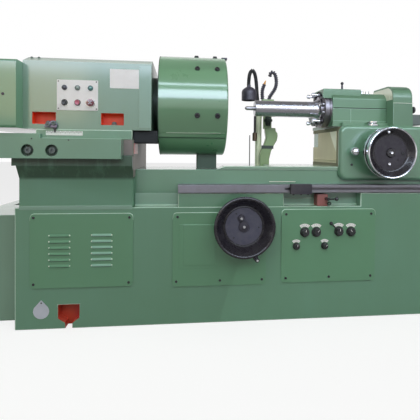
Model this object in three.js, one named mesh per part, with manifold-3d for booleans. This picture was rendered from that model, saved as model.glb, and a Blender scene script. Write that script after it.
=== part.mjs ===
// Internal grinding machine: a long hollow bed, a work head with chuck and drum guard on a bridge
// at the left, and a table that carries the cross slide, wheel head and grinding quill at the right.
import * as THREE from 'three';
import { mergeVertices } from 'three/addons/utils/BufferGeometryUtils.js';
import Module from 'manifold-3d';

const wasm = await Module();
wasm.setup();

// Driving dimensions in millimetres. x runs along the bed from its middle, y runs back from the
// bed's front face and z up from the floor.
const gap = 0.3; // clearance between pieces that slide, turn or are cut by each other
const spinGap = 0.8; // clearance of the large faceted shafts that turn in a hole
const overrun = 5; // how far a cutting shape passes the face that it cuts
const sheet = 4; // sheet metal of guards and belt covers
const facets = { small: 10, middle: 14, round: 20, large: 28, drum: 36 }; // sides of round shapes
const axisHeight = 1200; // both spindles above the floor
const axisDepth = 299; // both spindles behind the bed's front face

const bed = { length: 3000, depth: 820, height: 630, wall: 30, rib: 40 };
const bayCount = 4;
const lip = { height: 75, depth: 78, setback: 4, blockFrom: 827, blockTo: 1408, from: 1850 };
const anchor = { from: 214, width: 107, bottom: 54, height: 71, throat: 37, throatRise: 30, depth: 60,
    boss: 12 };
const way = { rise: 50, foot: 44, frontY: 165, width: 100, land: 45, crest: 5, rearY: 440, rearWidth: 80 };
const cover = { thick: 6, corner: 22, lap: 30 };
const door = { from: 76, width: 518, bottom: 215, height: 387 };
const louvre = { from: 167, width: 110, spread: 212, bottom: 325, pitch: 31.6, height: 14, depth: 9 };
const louvreRows = 6;
const centre = { from: 800, width: 508, bottom: 204, height: 398 };
const hatch = { from: 857, width: 175, bottom: 317, height: 219, thick: 3 };
const panel = { from: 1394, width: 543, bottom: 209, height: 407 };
const tank = { left: 1797, front: 130, depth: 700, height: 575, wall: 5, filler: 140,
    fillerIn: 70 };

const table = { left: 1210, right: 1190, front: 90, depth: 415, height: 148, web: 45, legFront: 155,
    legRear: 120 };
const topPlate = { thick: 20, lap: 5, from: 460, step: 110, ledgeDepth: 150, slant: 45 };
const rail = { from: 827, height: 42, above: 2, front: 8, slotFrom: 1408, slot: 14, tee: 26, teeDepth: 12 };
const dog = { length: 119, thick: 26, below: 6, above: 7, leftAt: 1496, rightAt: 2350 };
const cylinder = { left: 700, right: 180, radius: 45, bore: 36, cap: 50, port: 8, height: 85, y: 315,
    foot: 40 };
const rod = { radius: 20, piston: 30, pistonAt: 380, end: 445, web: 30 };

const riser = { from: 22, width: 570, wall: 80, depth: 720, flareAt: 152, flareTop: 218, flare: 40,
    ceiling: 208, top: 275 };
const bridge = { top: 987, thick: 82, left: 1700, bar: 90, barTop: 100, barEnd: 50, counterbore: 30,
    boreDepth: 22 };
const barBolt = { first: 295, second: 409, drop: 60 };
const swivel = { x: 1150, left: 1395, right: 912, front: 6, depth: 610, height: 50, pivot: 40,
    pinRise: 38 };

const head = { left: 1460, right: 816, depth: 600, frontHeight: 348, height: 381, bevel: 80, wall: 24,
    boss: 105, bossDepth: 70 };
const vent = { from: 48, front: 96, size: 48 };
const rearWindow = { from: 424, width: 150, bottom: 56, height: 154, corner: 20 };
const headCap = { width: 64, proud: 3, drop: 24 };
const pocket = { first: 46, second: 387, width: 116, bottom: 25, height: 62, depth: 46, wall: 10 };
const leftCover = { width: 258, front: 81, depth: 1000, height: 336, corner: 14, open: 20, openDepth: 560 };
const workSpindle = { radius: 70, left: 1655, nose: 110, noseLeft: 812 };
const workPulley = { radius: 150, left: 1640, width: 70, motorRadius: 55 };
const workMotor = { y: 770, z: 1180, radius: 105, left: 1400, length: 310, shaft: 14, socket: 80, foot: 60,
    shelf: 24 };
const controlPlate = { from: 167, width: 205, bottom: 98, height: 156, thick: 3 };
const button = { radius: 12, travel: 6, proud: 14, stem: 6, row: 40, first: 38, pitch: 64.5, mushroom: 20 };
const pointer = { left: 1345, width: 60, bottom: 1040, height: 44, depth: 26, screw: 13, proud: 12,
    inset: 16, level: 32 };

const guard = { left: 785, right: 405, radius: 292, mouth: 225, split: 168, hub: 165, hubBore: 125,
    gapLeft: 816 };
const spout = { from: 567, width: 118, depth: 108, bottom: 830 };
const hinge = { radius: 10, pin: 5, knuckle: 90, out: 12, leaf: 12 };
const bracket = { left: 900, right: 790, front: 20, depth: 260, bottom: 990 };
const chuck = { right: 630, width: 80, radius: 175, slot: 40, slotDepth: 25, bore: 60 };
const jaw = { inner: 60, length: 100, proud: 55, step: 28, stepRise: 30 };
const jawCount = 3;

const slide = { left: 289, right: 940, front: 56, depth: 584, bottom: 770, top: 1090, wall: 24, corner: 44,
    apron: 28, apronLeft: 248 };
const slot = { halfWidth: 40, front: 180, depth: 285 };
const wayGuard = { thick: 6, front: 206, rear: 538, lowRear: 640, bottom: 866, step: 968, top: 1063 };
const crossWheel = { x: 498, z: 932, radius: 143, dialBack: 8, dialFront: 30, rimFront: 76, floor: 44,
    screw: 12, hub: 24, bead: 5 };
const boss = { radius: 60, reach: 14 };
const pull = { x: 322, z: 938, radius: 26, y: 18, stem: 9, depth: 60 };
const nut = { front: 250, depth: 100, bottom: 905 };

const wheelhead = { left: 249, right: 589, front: 180, depth: 250, split: 3, slab: 22, slabLeft: 300,
    slabFront: 150, slabDepth: 560 };
const cap = { top: 1296, edge: 34, blockLeft: 195, blockRight: 434, blockTop: 1320, blockIn: 20,
    blockDepth: 190 };
const cartridge = { left: 202, flange: 112, flangeWidth: 75, barrel: 88, right: 560, bore: 30 };
const quill = { tip: 211, tipRadius: 49, radius: 50, pad: 78, padWidth: 14, bore: 14.2 };
const arbor = { tip: 270, radius: 12, shaft: 13.9, right: 690 };
const drive = { left: 622, width: 56, spindleRadius: 45, motorRadius: 60 };
const grindMotor = { y: 640, z: 1205, radius: 92, left: 262, length: 280, shaft: 12, socket: 80, foot: 60 };
const rightCover = { left: 590, right: 716, front: 100, depth: 650, top: 1337, arch: 75, fullDepth: 245,
    slope: 30, rearDrop: 51 };
const sideKnob = { radius: 20, length: 20, stem: 8, y: 150, z: 1197 };
const junction = { length: 62, front: 260, depth: 110, bottom: 1112, height: 76 };

const tableWheel = { x: 325, z: 534, radius: 163, rim: 9, rimY: 106, floor: 62, web: 9, floorRadius: 104,
    hub: 34, shaft: 15, back: 10 };
const grip = { radius: 12, length: 42, pin: 5, lug: 14, lugDepth: 18, head: 8, headLength: 6, root: 8.4,
    tail: 9, swellAt: 14, bellyAt: 33 };
const gripAngle = -70;
const knob = { radius: 25, skirt: 27, skirtLength: 8, length: 26, shaft: 6, lowRadius: 18, neck: 0.8,
    crown: 0.72 };
const knobPlaces = [[25, 488], [91, 488], [221, 490], [292, 488], [-22, 411], [140, 411]];
const leverKnob = 2;
const lowKnob = 4;
const knobLever = { rod: 4, ball: 10, dx: -62, dz: 53, out: 30 };
const valve = { from: 1581, width: 81, front: 5, depth: 70, height: 67 };
const lever = { x: 150, z: 672, boss: 9, reach: 34, rod: 4, ball: 11, dx: 34, dy: 28, dz: 6 };

const stand = { x: 93, y: 560, depth: 50, width: 70, bend: 281, bendEnd: 346, shift: 38, top: 446,
    valveWidth: 52 };
const manifold = { width: 82, bottom: 1196, height: 96, depth: 44 };
const post = { x: 126, y: 610, radius: 17, top: 1190, foot: 24, footHeight: 12 };
const lamp = { neck: 8.5, radius: 46, length: 92, top: 1374, wall: 3 };
const hose = { radius: 9.5, neck: 7, bore: 3, pitch: 13 };
const nozzle = { radius: 9, tip: 3.4, length: 34, hole: 2.1 };

const bedLeft = -bed.length / 2;
const bedRight = bed.length / 2;
const bedTop = bed.height;
const tableBottom = bedTop + way.rise;
const tableTop = tableBottom + table.height;
const plateTop = tableTop + topPlate.thick;
const lipTop = bedTop + lip.height;
const railBottom = lipTop + rail.above;
const railTop = railBottom + rail.height;
const headBottom = bridge.top + swivel.height;
const headTop = headBottom + head.height;
const splitHeight = axisHeight - guard.split;
const wheelSplit = axisHeight + wheelhead.split;

// Finishes: colour, roughness and metalness of each kind of surface.
const paint = { color: 0x648f72, roughness: 0.42, metalness: 0 };
const darkPaint = { color: 0x2c3a30, roughness: 0.6, metalness: 0 };
const greyPaint = { color: 0x777c80, roughness: 0.5, metalness: 0 };
const khaki = { color: 0x8f8768, roughness: 0.7, metalness: 0 };
const steel = { color: 0x9a9a9c, roughness: 0.35, metalness: 0.9 };
const chrome = { color: 0xd8d8dc, roughness: 0.12, metalness: 1 };
const blackGloss = { color: 0x141216, roughness: 0.25, metalness: 0 };
const iron = { color: 0x55575a, roughness: 0.6, metalness: 0.6 };
const whitePlate = { color: 0xf2f2f0, roughness: 0.4, metalness: 0 };
const red = { color: 0xb22a22, roughness: 0.4, metalness: 0 };
const pink = { color: 0x9a5a56, roughness: 0.5, metalness: 0 };

const machine = new THREE.Group();
machine.position.y = -bed.depth / 2;

// Turns a closed geometry into a solid, with its faces pointing out.
function solid(geometry) {
  const bare = geometry.clone();
  bare.deleteAttribute('normal');
  bare.deleteAttribute('uv');
  const merged = mergeVertices(bare, 1e-4);
  const at = merged.attributes.position.array;
  const faces = [];
  let volume = 0;
  for (let i = 0; i < merged.index.count; i += 3) {
    const [a, b, c] = [0, 1, 2].map((k) => merged.index.getX(i + k));
    if (a === b || b === c || c === a) continue;
    faces.push(a, b, c);
    const [p, q, r] = [a, b, c].map((k) => new THREE.Vector3(at[3 * k], at[3 * k + 1], at[3 * k + 2]));
    volume += p.dot(q.cross(r));
  }
  if (volume < 0) faces.reverse();
  return new wasm.Manifold(new wasm.Mesh({
    numProp: 3, vertProperties: Float32Array.from(at), triVerts: Uint32Array.from(faces),
  }));
}

// A block from its low and high sides along x, y and z.
function block([x0, x1], [y0, y1], [z0, z1]) {
  const geometry = new THREE.BoxGeometry(x1 - x0, y1 - y0, z1 - z0);
  return solid(geometry.translate((x0 + x1) / 2, (y0 + y1) / 2, (z0 + z1) / 2));
}

// An outline pushed along an axis: it is drawn in y and z for x, in x and z for y, in x and y for z.
function prism(axis, outline, low, high) {
  const shape = outline instanceof THREE.Shape
    ? outline
    : new THREE.Shape(outline.map(([u, v]) => new THREE.Vector2(u, v)));
  const settings = { depth: high - low, bevelEnabled: false, curveSegments: 4 };
  const geometry = new THREE.ExtrudeGeometry(shape, settings);
  const turn = new THREE.Matrix4();
  if (axis === 'x') geometry.applyMatrix4(turn.set(0, 0, 1, low, 1, 0, 0, 0, 0, 1, 0, 0, 0, 0, 0, 1));
  if (axis === 'y') geometry.applyMatrix4(turn.set(1, 0, 0, 0, 0, 0, -1, high, 0, 1, 0, 0, 0, 0, 0, 1));
  if (axis === 'z') geometry.translate(0, 0, low);
  return solid(geometry);
}

// A profile of [radius, place along the axis] turned about an axis through the given centre.
function turned(axis, profile, [u, v], sides = facets.round) {
  const closed = profile[0][0] > 0 ? [...profile, profile[0]] : profile;
  const geometry = new THREE.LatheGeometry(closed.map(([r, s]) => new THREE.Vector2(r, s)), sides);
  if (axis === 'x') geometry.rotateZ(-Math.PI / 2).translate(0, u, v);
  if (axis === 'y') geometry.translate(u, 0, v);
  if (axis === 'z') geometry.rotateX(Math.PI / 2).translate(u, v, 0);
  return solid(geometry);
}

function drum(axis, radius, low, high, centreAt, sides = facets.round) {
  return turned(axis, [[0, low], [radius, low], [radius, high], [0, high]], centreAt, sides);
}

function ring(axis, outer, inner, low, high, centreAt, sides = facets.round) {
  return turned(axis, [[inner, low], [outer, low], [outer, high], [inner, high]], centreAt, sides);
}

function ball(radius, [x, y, z], sides = facets.small) {
  return solid(new THREE.SphereGeometry(radius, sides, Math.round(sides / 2)).translate(x, y, z));
}

// A round bar along a smooth path.
function bar(points, radius, steps, sides = 8) {
  const path = new THREE.CatmullRomCurve3(
    points.map((p) => new THREE.Vector3(...p)), false, 'centripetal',
  );
  const section = new THREE.Shape();
  section.absarc(0, 0, radius, 0, 2 * Math.PI);
  const geometry = new THREE.ExtrudeGeometry(section, {
    steps, extrudePath: path, curveSegments: sides / 2, bevelEnabled: false,
  });
  return solid(geometry);
}

// A rectangle with rounded corners, as an outline.
function rounded([u0, u1], [v0, v1], radius) {
  const shape = new THREE.Shape();
  shape.moveTo(u0 + radius, v0);
  shape.absarc(u1 - radius, v0 + radius, radius, -Math.PI / 2, 0);
  shape.absarc(u1 - radius, v1 - radius, radius, 0, Math.PI / 2);
  shape.absarc(u0 + radius, v1 - radius, radius, Math.PI / 2, Math.PI);
  shape.absarc(u0 + radius, v0 + radius, radius, Math.PI, 1.5 * Math.PI);
  return shape;
}

function join(...solids) {
  return solids.reduce((whole, next) => whole.add(next));
}

function cut(body, ...tools) {
  return tools.reduce((whole, next) => whole.subtract(next), body);
}

// Adds a finished solid to the machine as a named mesh, with its origin at the given place.
function piece(name, body, finish, parent, at = [0, 0, 0]) {
  const mesh = body.translate(-at[0], -at[1], -at[2]).getMesh();
  const geometry = new THREE.BufferGeometry();
  geometry.setAttribute(
    'position', new THREE.BufferAttribute(Float32Array.from(mesh.vertProperties), 3),
  );
  geometry.setIndex(new THREE.BufferAttribute(Uint32Array.from(mesh.triVerts), 1));
  geometry.computeVertexNormals();
  const part = new THREE.Mesh(geometry, new THREE.MeshStandardMaterial(finish));
  part.name = name;
  part.position.set(...at);
  parent.add(part);
  return part;
}

function group(parent) {
  const child = new THREE.Group();
  parent.add(child);
  return child;
}

// Bed: a box open below with cross ribs, anchor pockets, a raised front edge and a front recess.
function makeBed(parent) {
  const bay = (bed.length - (bayCount + 1) * bed.rib) / bayCount;
  const shell = block([bedLeft, bedRight], [0, bed.depth], [0, bedTop]);
  const bays = [];
  for (let i = 0; i < bayCount; i += 1) {
    const left = bedLeft + bed.rib + i * (bay + bed.rib);
    bays.push(block(
      [left, left + bay], [bed.wall, bed.depth - bed.wall], [-overrun, bedTop - bed.wall],
    ));
  }
  const blockLip = block(
    [bedLeft + lip.blockFrom, bedLeft + lip.blockTo], [lip.setback, lip.depth],
    [bedTop - overrun, lipTop],
  );
  const longLip = block([bedLeft + lip.from, bedRight], [0, lip.depth], [bedTop - overrun, lipTop]);
  let body = join(cut(shell, ...bays), blockLip, longLip);
  for (const { x, front } of anchorPlaces()) {
    const from = front ? 0 : bed.depth - anchor.depth - anchor.boss;
    const lump = block(
      [x - anchor.boss, x + anchor.width + anchor.boss], [from, from + anchor.depth + anchor.boss],
      [0, anchor.bottom + anchor.height + anchor.boss],
    );
    const inner = front ? from - overrun : from + anchor.boss;
    body = cut(join(body, lump), prism('y', pocketOutline(x), inner, inner + anchor.depth + overrun));
  }
  for (const plate of [door, centre, panel]) {
    const x = bedLeft + plate.from;
    body = cut(
      body,
      block(
        [x + cover.lap, x + plate.width - cover.lap], [-overrun, bed.wall + overrun],
        [plate.bottom + cover.lap, plate.bottom + plate.height - cover.lap],
      ),
    );
  }
  piece('bed_casting', body, paint, parent);
}

function anchorPlaces() {
  const near = bedLeft + anchor.from;
  const far = bedRight - anchor.from - anchor.width;
  return [near, far].flatMap((x) => [{ x, front: true }, { x, front: false }]);
}

// The pocket's funnel, from its square top down to the throat that lets the anchor bolt in.
function pocketOutline(x) {
  const throatLeft = x + (anchor.width - anchor.throat) / 2;
  const top = anchor.bottom + anchor.height;
  return [
    [x, top], [x, anchor.bottom], [throatLeft, anchor.throatRise], [throatLeft, -overrun],
    [throatLeft + anchor.throat, -overrun], [throatLeft + anchor.throat, anchor.throatRise],
    [x + anchor.width, anchor.bottom], [x + anchor.width, top],
  ];
}

// Ways: a raised V at the front and a flat strip at the rear, both of ground steel.
function veeOutline(clear) {
  const low = bedTop + way.foot;
  const crestTop = low + way.land - way.crest + clear;
  return [
    [way.frontY - way.land - clear, low], [way.frontY + way.land + clear, low],
    [way.frontY + way.crest + clear, crestTop], [way.frontY - way.crest - clear, crestTop],
  ];
}

function makeWays(parent) {
  const ends = [bedLeft + bed.wall, bedRight - bed.wall];
  const base = block(
    ends, [way.frontY - way.width / 2, way.frontY + way.width / 2], [bedTop, bedTop + way.foot],
  );
  piece('front_way', join(base, prism('x', veeOutline(0), ...ends)), steel, parent);
  const rear = [way.rearY - way.rearWidth / 2, way.rearY + way.rearWidth / 2];
  piece('rear_way', block(ends, rear, [bedTop, tableBottom - gap]), steel, parent);
}

// Covers on the bed's front face, each a rounded plate over its opening.
function coverPlate(plate) {
  const x = bedLeft + plate.from;
  return prism(
    'y', rounded([x, x + plate.width], [plate.bottom, plate.bottom + plate.height], cover.corner),
    -cover.thick, 0,
  );
}

function makeCovers(parent) {
  let louvred = coverPlate(door);
  for (const column of [0, 1]) {
    for (let row = 0; row < louvreRows; row += 1) {
      const x = bedLeft + louvre.from + column * louvre.spread;
      const z = louvre.bottom + row * louvre.pitch;
      const lean = [
        [-cover.thick + gap, z], [-cover.thick - louvre.depth, z],
        [-cover.thick + gap, z + louvre.height],
      ];
      louvred = join(louvred, prism('x', lean, x, x + louvre.width));
    }
  }
  piece('louvred_door', louvred, paint, parent);
  const hatchLeft = bedLeft + hatch.from;
  const hatchPlate = block(
    [hatchLeft, hatchLeft + hatch.width], [-cover.thick - hatch.thick, -cover.thick + gap],
    [hatch.bottom, hatch.bottom + hatch.height],
  );
  const shaftHole = drum(
    'y', tableWheel.shaft + gap, -cover.thick - overrun, overrun, [-tableWheel.x, tableWheel.z],
  );
  piece('centre_cover', cut(join(coverPlate(centre), hatchPlate), shaftHole), paint, parent);
  const holes = knobPlaces.map((place) => drum(
    'y', knob.shaft + gap, -cover.thick - overrun, overrun, place, facets.small,
  ));
  piece('hydraulic_panel', cut(coverPlate(panel), ...holes), paint, parent);
}

function makeTank(parent) {
  const [x0, x1] = [-tank.left, bedLeft - gap];
  const [y0, y1] = [tank.front, tank.front + tank.depth];
  const shell = block([x0, x1], [y0, y1], [0, tank.height]);
  const inside = block(
    [x0 + tank.wall, x1 - tank.wall], [y0 + tank.wall, y1 - tank.wall],
    [tank.wall, tank.height - tank.wall],
  );
  const filler = block(
    [x0 + tank.fillerIn, x0 + tank.fillerIn + tank.filler], [y1 - 2 * tank.filler, y1 - tank.filler],
    [tank.height - tank.wall - overrun, tank.height + overrun],
  );
  piece('coolant_tank', cut(shell, inside, filler), paint, parent);
}

// Riser and bridge: two walls and a flared top span the table and carry the head's plate.
function makeBridge(parent) {
  const left = bedLeft + riser.from;
  const ends = [left, left + riser.width];
  const [flareLow, flareHigh] = [bedTop + riser.flareAt, bedTop + riser.flareTop];
  const ceiling = bedTop + riser.ceiling;
  const outline = [
    [0, bedTop], [riser.wall, bedTop], [riser.wall, ceiling], [riser.depth - riser.wall, ceiling],
    [riser.depth - riser.wall, bedTop], [riser.depth, bedTop], [riser.depth, bedTop + riser.top],
    [-riser.flare, bedTop + riser.top], [-riser.flare, flareHigh], [0, flareLow],
  ];
  const spread = block(
    [left - riser.from, left + overrun], [-riser.flare, riser.depth], [flareHigh, bedTop + riser.top],
  );
  piece('bridge_riser', join(prism('x', outline, ...ends), spread), paint, parent);

  const slab = block(
    [left - riser.from, left + riser.width], [0, riser.depth], [bridge.top - bridge.thick, bridge.top],
  );
  const barRight = left + riser.width - bridge.barEnd;
  const front = block(
    [-bridge.left, barRight], [-bridge.bar, overrun], [bridge.top - bridge.barTop, bridge.top],
  );
  const underBar = block(
    [left - 2 * riser.from, left + riser.width], [-riser.flare - gap, 2 * overrun],
    [bridge.top - bridge.barTop - overrun, bridge.top - bridge.thick + gap],
  );
  const tail = block(
    [-bridge.left, left], [0, riser.depth / 2], [bridge.top - bridge.thick, bridge.top],
  );
  const bores = [barBolt.first, barBolt.second].map((x) => drum(
    'y', bridge.counterbore, -bridge.bar - overrun, -bridge.bar + bridge.boreDepth,
    [-bridge.left + x, bridge.top - barBolt.drop], facets.middle,
  ));
  const pin = drum(
    'z', swivel.pivot + spinGap, bridge.top - overrun, bridge.top + overrun, [-swivel.x, axisDepth],
  );
  piece('bridge_plate', cut(join(slab, front, tail), underBar, ...bores, pin), paint, parent);
}

function makeSwivelBase(parent) {
  const plate = block(
    [-swivel.left, -swivel.right], [-swivel.front, swivel.depth - swivel.front],
    [bridge.top, headBottom - gap],
  );
  const pin = drum(
    'z', swivel.pivot, bridge.top - overrun + gap, headBottom + swivel.pinRise, [-swivel.x, axisDepth],
  );
  piece('swivel_base', join(plate, pin), paint, parent);
}

// Cylinder that moves the table, on two feet between the ways.
function makeCylinder(parent) {
  const at = [cylinder.y, bedTop + cylinder.height];
  const ends = [-cylinder.left, cylinder.right];
  let body = drum('x', cylinder.radius, ...ends, at, facets.round);
  for (const x of [ends[0], ends[1] - cylinder.foot]) {
    body = join(
      body,
      block(
        [x, x + cylinder.foot], [cylinder.y - cylinder.foot, cylinder.y + cylinder.foot],
        [bedTop, bedTop + cylinder.height],
      ),
    );
  }
  const bore = drum(
    'x', cylinder.bore, ends[0] + cylinder.cap, ends[1] - cylinder.cap, at, facets.round,
  );
  const rodHole = drum('x', rod.radius + gap, ends[1] - cylinder.cap - overrun, ends[1] + overrun, at);
  const portPlaces = [ends[0] + cylinder.cap + cylinder.foot, ends[1] - cylinder.cap - cylinder.foot];
  const ports = portPlaces.map((x) => drum(
    'z', cylinder.port, at[1], at[1] + cylinder.radius + overrun, [x, cylinder.y], facets.small,
  ));
  piece('table_cylinder', cut(body, bore, rodHole, ...ports), steel, parent);
}

// Table: a channel on the ways, with the top plates, the dog rail and the piston rod.
function makeTable(parent) {
  const ends = [-table.left, table.right];
  const back = table.front + table.depth;
  const whole = block(ends, [table.front, back], [tableBottom, tableTop]);
  const channel = block(
    [ends[0] - overrun, ends[1] + overrun], [table.front + table.legFront, back - table.legRear],
    [tableBottom - overrun, tableTop - table.web],
  );
  const groove = prism('x', veeOutline(gap * Math.SQRT2), ends[0] - overrun, ends[1] + overrun);
  const web = block(
    [rod.end - rod.web, rod.end],
    [table.front + table.legFront - overrun, back - table.legRear + overrun],
    [tableBottom, tableTop - table.web + overrun],
  );
  const rodAt = [cylinder.y, bedTop + cylinder.height];
  const rodHole = drum('x', rod.radius + gap, rod.end - rod.web - overrun, rod.end + overrun, rodAt);
  piece('table_beam', cut(join(cut(whole, channel), web), groove, rodHole), paint, parent);

  const [x0, x1] = [-topPlate.from, -topPlate.step];
  const slope = prism(
    'y', [[x0, tableTop], [x1, tableTop], [x1, plateTop], [x0 + topPlate.slant, plateTop]],
    table.front - topPlate.lap, table.front - topPlate.lap + topPlate.ledgeDepth,
  );
  const wide = block(
    [x1 - overrun, table.right], [table.front - topPlate.lap, back], [tableTop, plateTop],
  );
  const notch = block(
    [x1 - overrun - gap, x1], [table.front - topPlate.lap + topPlate.ledgeDepth, back + overrun],
    [tableTop - overrun, plateTop + overrun],
  );
  piece('table_top_plate', join(cut(wide, notch), slope), paint, parent);

  const pistonRod = turned(
    'x',
    [
      [0, -rod.pistonAt - rod.piston], [cylinder.bore - gap, -rod.pistonAt - rod.piston],
      [cylinder.bore - gap, -rod.pistonAt + rod.piston], [rod.radius, -rod.pistonAt + rod.piston],
      [rod.radius, rod.end], [0, rod.end],
    ],
    rodAt,
  );
  piece('piston_rod', pistonRod, steel, parent);
}

// The T of the slot in the dog rail, drawn in y and z; the dog's tongue is the same less a gap.
function teeOutline(less, front) {
  const middle = railBottom + rail.height / 2;
  const [neck, wide] = [rail.slot / 2 - less, rail.tee / 2 - less];
  const y1 = -rail.front + rail.teeDepth + less;
  const y2 = -rail.front + 2 * rail.teeDepth - less;
  return [
    [front, middle - neck], [y1, middle - neck], [y1, middle - wide], [y2, middle - wide],
    [y2, middle + wide], [y1, middle + wide], [y1, middle + neck], [front, middle + neck],
  ];
}

function makeRail(parent) {
  const plain = block(
    [bedLeft + rail.from, table.right], [-rail.front, table.front], [railBottom, railTop],
  );
  const groove = prism(
    'x', teeOutline(0, -rail.front - overrun), bedLeft + rail.slotFrom, table.right + overrun,
  );
  piece('dog_rail', cut(plain, groove), steel, parent);
}

function makeDog(name, from, parent) {
  const x = bedLeft + from;
  const face = -rail.front - gap;
  const body = block(
    [x, x + dog.length], [face - dog.thick, face], [railBottom - dog.below, railTop + dog.above],
  );
  const tongue = prism('x', teeOutline(gap, face - overrun), x, x + dog.length);
  piece(name, join(body, tongue), iron, parent);
}

// Cross slide on the table, with its rounded front apron hanging before the table.
function makeCrossSlide(parent) {
  const [x0, x1] = [slide.left, slide.right];
  const back = slide.front + slide.depth;
  const apron = prism(
    'y', rounded([slide.apronLeft, x1], [slide.bottom, slide.top], slide.corner), slide.front,
    slide.front + slide.apron,
  );
  const box = block([x0, x1], [slide.front + slide.apron - overrun, back], [plateTop, slide.top]);
  const cavity = block(
    [x0 + slide.wall, x1 - slide.wall], [slide.front + slide.apron + slide.wall, back - slide.wall],
    [plateTop - overrun, slide.top - slide.wall],
  );
  const rimStep = block(
    [slide.apronLeft - overrun, x1 + overrun], [slide.front + slide.apron, table.front],
    [slide.bottom - overrun, plateTop],
  );
  const ringBoss = drum(
    'y', boss.radius, slide.front - boss.reach, slide.front + overrun, [crossWheel.x, crossWheel.z],
    facets.round,
  );
  const screwHole = drum(
    'y', crossWheel.screw + gap, slide.front - boss.reach - overrun,
    slide.front + slide.apron + slide.wall + overrun, [crossWheel.x, crossWheel.z], facets.large,
  );
  const pullHole = drum(
    'y', pull.stem + gap, slide.front - overrun, slide.front + pull.depth + overrun, [pull.x, pull.z],
    facets.middle,
  );
  const nutSlot = block(
    [crossWheel.x - slot.halfWidth, crossWheel.x + slot.halfWidth],
    [slot.front, slot.front + slot.depth], [slide.top - slide.wall - overrun, slide.top + overrun],
  );
  const body = cut(join(apron, box, ringBoss), cavity, rimStep, screwHole, pullHole, nutSlot);
  piece('cross_slide_base', body, paint, parent);
  const outline = [
    [wayGuard.front, wayGuard.bottom], [wayGuard.lowRear, wayGuard.bottom],
    [wayGuard.lowRear, wayGuard.step], [wayGuard.rear, wayGuard.step], [wayGuard.rear, wayGuard.top],
    [wayGuard.front, wayGuard.top],
  ];
  piece('way_guard', prism('x', outline, slide.left - wayGuard.thick, slide.left), khaki, parent);
}

// Handwheel of the cross feed, one piece with its dial ring and feed screw.
function makeCrossWheel(parent) {
  const w = crossWheel;
  const screwEnd = nut.front + nut.depth + slot.depth / 2;
  const face = slide.front - boss.reach - gap;
  const profile = [
    [0, screwEnd], [w.screw, screwEnd], [w.screw, face], [boss.radius, face],
    [boss.radius, -w.dialBack], [w.radius, -w.dialBack], [w.radius, -w.dialFront],
    [w.radius - boss.reach, -w.dialFront], [w.radius - boss.reach, -w.dialFront - boss.reach],
    [w.radius - gap, 2 * boss.reach - w.rimFront], [w.radius, -w.rimFront + w.bead],
    [w.radius - w.bead, -w.rimFront], [w.radius - 2 * w.bead, -w.rimFront + gap],
    [w.radius - 3 * w.bead, -w.rimFront + w.bead], [w.radius - 5 * w.bead, -w.floor], [w.hub, -w.floor],
    [w.hub, -w.floor - w.screw], [0, -w.floor - w.screw],
  ];
  piece('cross_handwheel', turned('y', profile, [w.x, w.z], facets.large), blackGloss, parent);
  const stem = drum('y', pull.stem, pull.y, slide.front + pull.depth, [pull.x, pull.z], facets.small);
  piece('pull_knob', join(ball(pull.radius, [pull.x, pull.y, pull.z]), stem), chrome, parent);
}

// Wheel head: a split housing on a slab, with the cartridge, quill, spindle, motor and belt cover.
function makeWheelhead(parent) {
  const { left, right, front } = wheelhead;
  const low = slide.top + gap;
  const slab = block(
    [wheelhead.slabLeft, right], [wheelhead.slabFront, wheelhead.slabFront + wheelhead.slabDepth],
    [low, low + wheelhead.slab],
  );
  const body = block([left, right], [front, front + wheelhead.depth], [low, wheelSplit]);
  const nutBlock = block(
    [crossWheel.x - slot.halfWidth + gap, crossWheel.x + slot.halfWidth - gap],
    [nut.front, nut.front + nut.depth], [nut.bottom, low + overrun],
  );
  const screwHole = drum(
    'y', crossWheel.screw + gap, nut.front - overrun, nut.front + nut.depth + overrun,
    [crossWheel.x, crossWheel.z], facets.large,
  );
  const barrelHole = drum(
    'x', cartridge.barrel + gap, left - overrun, right + overrun, [axisDepth, axisHeight], facets.large,
  );
  const flangeRoom = drum(
    'x', cartridge.flange + gap, left - overrun, cartridge.left + cartridge.flangeWidth + gap,
    [axisDepth, axisHeight], facets.large,
  );
  piece(
    'wheelhead_casting', cut(join(slab, body, nutBlock), screwHole, barrelHole, flangeRoom), paint,
    parent,
  );

  const crown = prism(
    'x',
    [
      [front, wheelSplit + gap], [front + wheelhead.depth, wheelSplit + gap],
      [front + wheelhead.depth, cap.top - cap.edge], [front + wheelhead.depth - cap.edge, cap.top],
      [front + cap.edge, cap.top], [front, cap.top - cap.edge],
    ],
    left, right,
  );
  const blockFront = front + cap.blockIn;
  const raised = block(
    [cap.blockLeft, cap.blockRight], [blockFront, blockFront + cap.blockDepth],
    [cap.top - cap.edge, cap.blockTop],
  );
  const flangeWide = drum(
    'x', cartridge.flange + gap, cap.blockLeft - overrun, cartridge.left + cartridge.flangeWidth + gap,
    [axisDepth, axisHeight], facets.large,
  );
  piece('wheelhead_cap', cut(join(crown, raised), barrelHole, flangeWide), paint, parent);

  const c = cartridge;
  const flangeEnd = c.left + c.flangeWidth;
  const sleeve = turned(
    'x',
    [
      [c.bore, c.left], [c.flange, c.left], [c.flange, flangeEnd], [c.barrel, flangeEnd],
      [c.barrel, c.right], [c.bore, c.right],
    ],
    [axisDepth, axisHeight], facets.large,
  );
  piece('spindle_cartridge', sleeve, steel, parent);
  const tube = turned(
    'x',
    [
      [quill.bore, -quill.tip], [quill.tipRadius, -quill.tip], [quill.radius, c.left - quill.padWidth],
      [quill.pad, c.left - quill.padWidth], [quill.pad, c.left], [quill.bore, c.left],
    ],
    [axisDepth, axisHeight], facets.large,
  );
  piece('quill', tube, steel, parent);
}

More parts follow.
